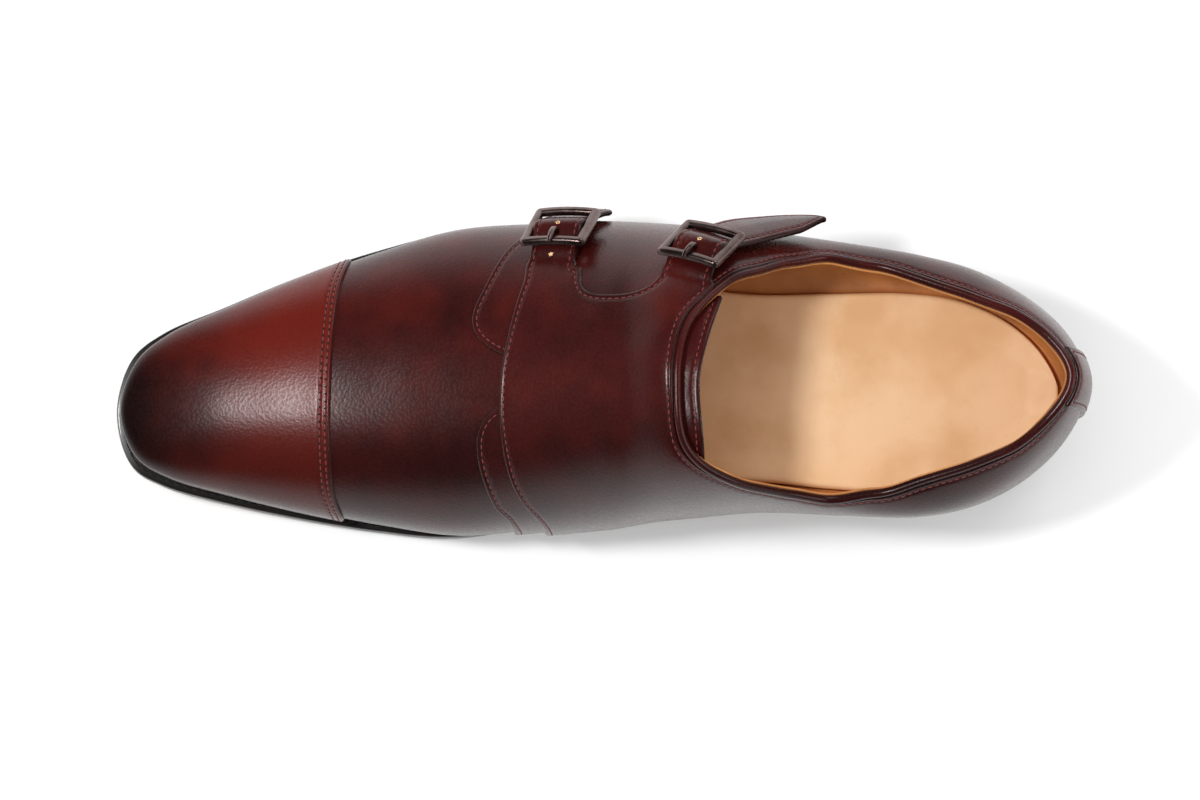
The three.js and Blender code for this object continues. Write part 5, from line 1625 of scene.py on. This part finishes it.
class SHOE_OT_stitching(bpy.types.Operator):
    """Sews the rows of stitches along the leather parts' edges"""
    bl_idname = "shoe.stitching"
    bl_label = "Stitching"

    def execute(self, context):
        made = materials()
        sizes = context.scene.shoe_sizes
        tree = stitch_tree()
        used = (made["thread"], made["hole"])
        for key, runs in ROWS.items():
            if runs:
                title = "stitches_" + key.replace(".", "_")
                hole = sizes.thread * (1.7 if "cap" in key else 1.2)
                sew(title, tree, runs, "calf", sizes.pitch, sizes.thread, length=0.78, hole=hole,
                    materials_used=used)
        for title, corners, raised in SHORT_SEAMS:
            share, rise = np.array(corners).T
            steps = np.linspace(0, len(corners) - 1, 60)
            spots = Spots(np.stack([np.interp(steps, range(len(share)), along_at_share(share)),
                                    np.interp(steps, range(len(rise)), rise)], 1))
            run = spots.points[0] + spots.normal * raised
            sew(title, tree, [(run, spots.normal)], "calf", pitch=0.0018, thread=0.0005,
                length=0.85, hole=0.0005, materials_used=used)
        place = np.linspace(0.0, 1.0, 500)
        points = sole_edge(place, margin_at(closed_curve(SOLE_RING, place)[:, 0]) * 0.5)
        points = np.column_stack([points, bottom_at(points[:, 0]) + SOLE_THICKNESS + WELT_SEAM_LIFT])
        front = points[:, 0] < WELT_SEAM_REAR * LAST_LENGTH
        cut = int(np.argmin(front))
        again = int(len(front) - np.argmin(front[::-1]))
        run = np.concatenate([points[again:-1], points[:cut]])
        runs = [(run, np.tile((0.0, 0.0, 1.0), (len(run), 1)))]
        sew("welt_stitches", tree, runs, "sole_edge", pitch=0.0030, thread=0.0008, length=0.8,
            hole=0.0007, materials_used=(made["edge_thread"], made["hole"]), lift=0.0)
        return {"FINISHED"}


# Degrees from straight above, metres away, focal length in mm, and the point in the middle of
# the view in mm on the last
CAMERA_TILT = 5.0
CAMERA_FAR = 2.2
CAMERA_LENS = 204.6
LOOK_AT = (154.7, 3.0, 0.0)
FLOOR_REACH = 12.0
WORLD_LIGHT = 0.89
# Name, place in metres, diameter and power of each soft lamp
LAMPS = (("toe_softbox", (-0.58, 0.06, 1.28), 0.22, 10.0),
         ("outer_softbox", (0.75, 1.25, 1.0), 0.9, 6.0),
         ("heel_softbox", (1.5, -0.2, 0.9), 0.8, 5.0))


class SHOE_OT_stage(bpy.types.Operator):
    """Sets the floor, the soft light and the camera"""
    bl_idname = "shoe.stage"
    bl_label = "Stage"

    def execute(self, context):
        scene = context.scene
        scene.view_settings.view_transform = "Standard"
        target = Vector(to_frame(LOOK_AT))
        tilt = math.radians(CAMERA_TILT)
        data = bpy.data.cameras.new("camera")
        data.lens = CAMERA_LENS
        camera = bpy.data.objects.new("camera", data)
        scene.collection.objects.link(camera)
        camera.location = target + Vector((0, -math.sin(tilt), math.cos(tilt))) * CAMERA_FAR
        camera.rotation_euler = (target - camera.location).to_track_quat("-Z", "Y").to_euler()
        scene.camera = camera

        mesh = bpy.data.meshes.new("studio_floor")
        corners = [(x * FLOOR_REACH, y * FLOOR_REACH, 0) for x, y in ((-1, -1), (1, -1), (1, 1), (-1, 1))]
        mesh.from_pydata(corners, [], [(0, 1, 2, 3)])
        floor = bpy.data.objects.new("studio_floor", mesh)
        scene.collection.objects.link(floor)
        # Matt white paper sweep
        paper, _, shader, _ = start_material("white_paper", Roughness=0.9)
        shader.inputs["Base Color"].default_value = (0.93, 0.93, 0.93, 1)
        floor.data.materials.append(paper)

        world = bpy.data.worlds.new("studio")
        scene.world = world
        world.use_nodes = True
        tree = world.node_tree
        tree.nodes.clear()
        # Even white light, but polished tops mirror a dark ceiling and the sides pale walls
        aim = add_node(tree, "ShaderNodeTexCoord").outputs["Generated"]
        high = add_node(tree, "ShaderNodeSeparateXYZ", Vector=aim).outputs[2]
        walls = ranged(tree, high, 0.0, 0.36, 0.8, 0.02)
        mirrored = add_node(tree, "ShaderNodeLightPath").outputs["Is Glossy Ray"]
        even = maths(tree, "MULTIPLY", maths(tree, "SUBTRACT", 1.0, mirrored), WORLD_LIGHT)
        glow = maths(tree, "ADD", even, maths(tree, "MULTIPLY", mirrored, walls))
        back = add_node(tree, "ShaderNodeBackground", Color=(1, 1, 1, 1), Strength=glow)
        add_node(tree, "ShaderNodeOutputWorld", Surface=back.outputs[0])

        for name, spot, size, power in LAMPS:
            lamp = bpy.data.lights.new(name, "AREA")
            lamp.shape, lamp.size, lamp.energy = "DISK", size, power
            light = bpy.data.objects.new(name, lamp)
            scene.collection.objects.link(light)
            light.location = spot
            light.rotation_euler = (-Vector(spot)).to_track_quat("-Z", "Y").to_euler()
        return {"FINISHED"}


OPERATORS = (SHOE_OT_upper, SHOE_OT_panels, SHOE_OT_flap, SHOE_OT_tongue, SHOE_OT_collar,
             SHOE_OT_sole, SHOE_OT_heel, SHOE_OT_buckles, SHOE_OT_stitching, SHOE_OT_stage)


class SHOE_PT_builder(bpy.types.Panel):
    """Lists the parts of the shoe"""
    bl_idname = "SHOE_PT_builder"
    bl_label = "Double strap shoe"
    bl_space_type = "VIEW_3D"
    bl_region_type = "UI"
    bl_category = "Shoe"

    def draw(self, context):
        for group in (context.scene.shoe_sizes, context.scene.shoe_colours):
            for key in group.__annotations__:
                self.layout.prop(group, key)
        for operator in OPERATORS:
            self.layout.operator(operator.bl_idname)


CLASSES = (ShoeSizes, ShoeColours, *OPERATORS, SHOE_PT_builder)


def register():
    for kind in CLASSES:
        bpy.utils.register_class(kind)
    bpy.types.Scene.shoe_sizes = PointerProperty(type=ShoeSizes)
    bpy.types.Scene.shoe_colours = PointerProperty(type=ShoeColours)


def unregister():
    del bpy.types.Scene.shoe_sizes
    del bpy.types.Scene.shoe_colours
    for kind in reversed(CLASSES):
        bpy.utils.unregister_class(kind)


def main():
    register()
    for operator in OPERATORS:
        getattr(bpy.ops.shoe, operator.bl_idname.split(".")[1])()


if __name__ == "__main__":
    main()
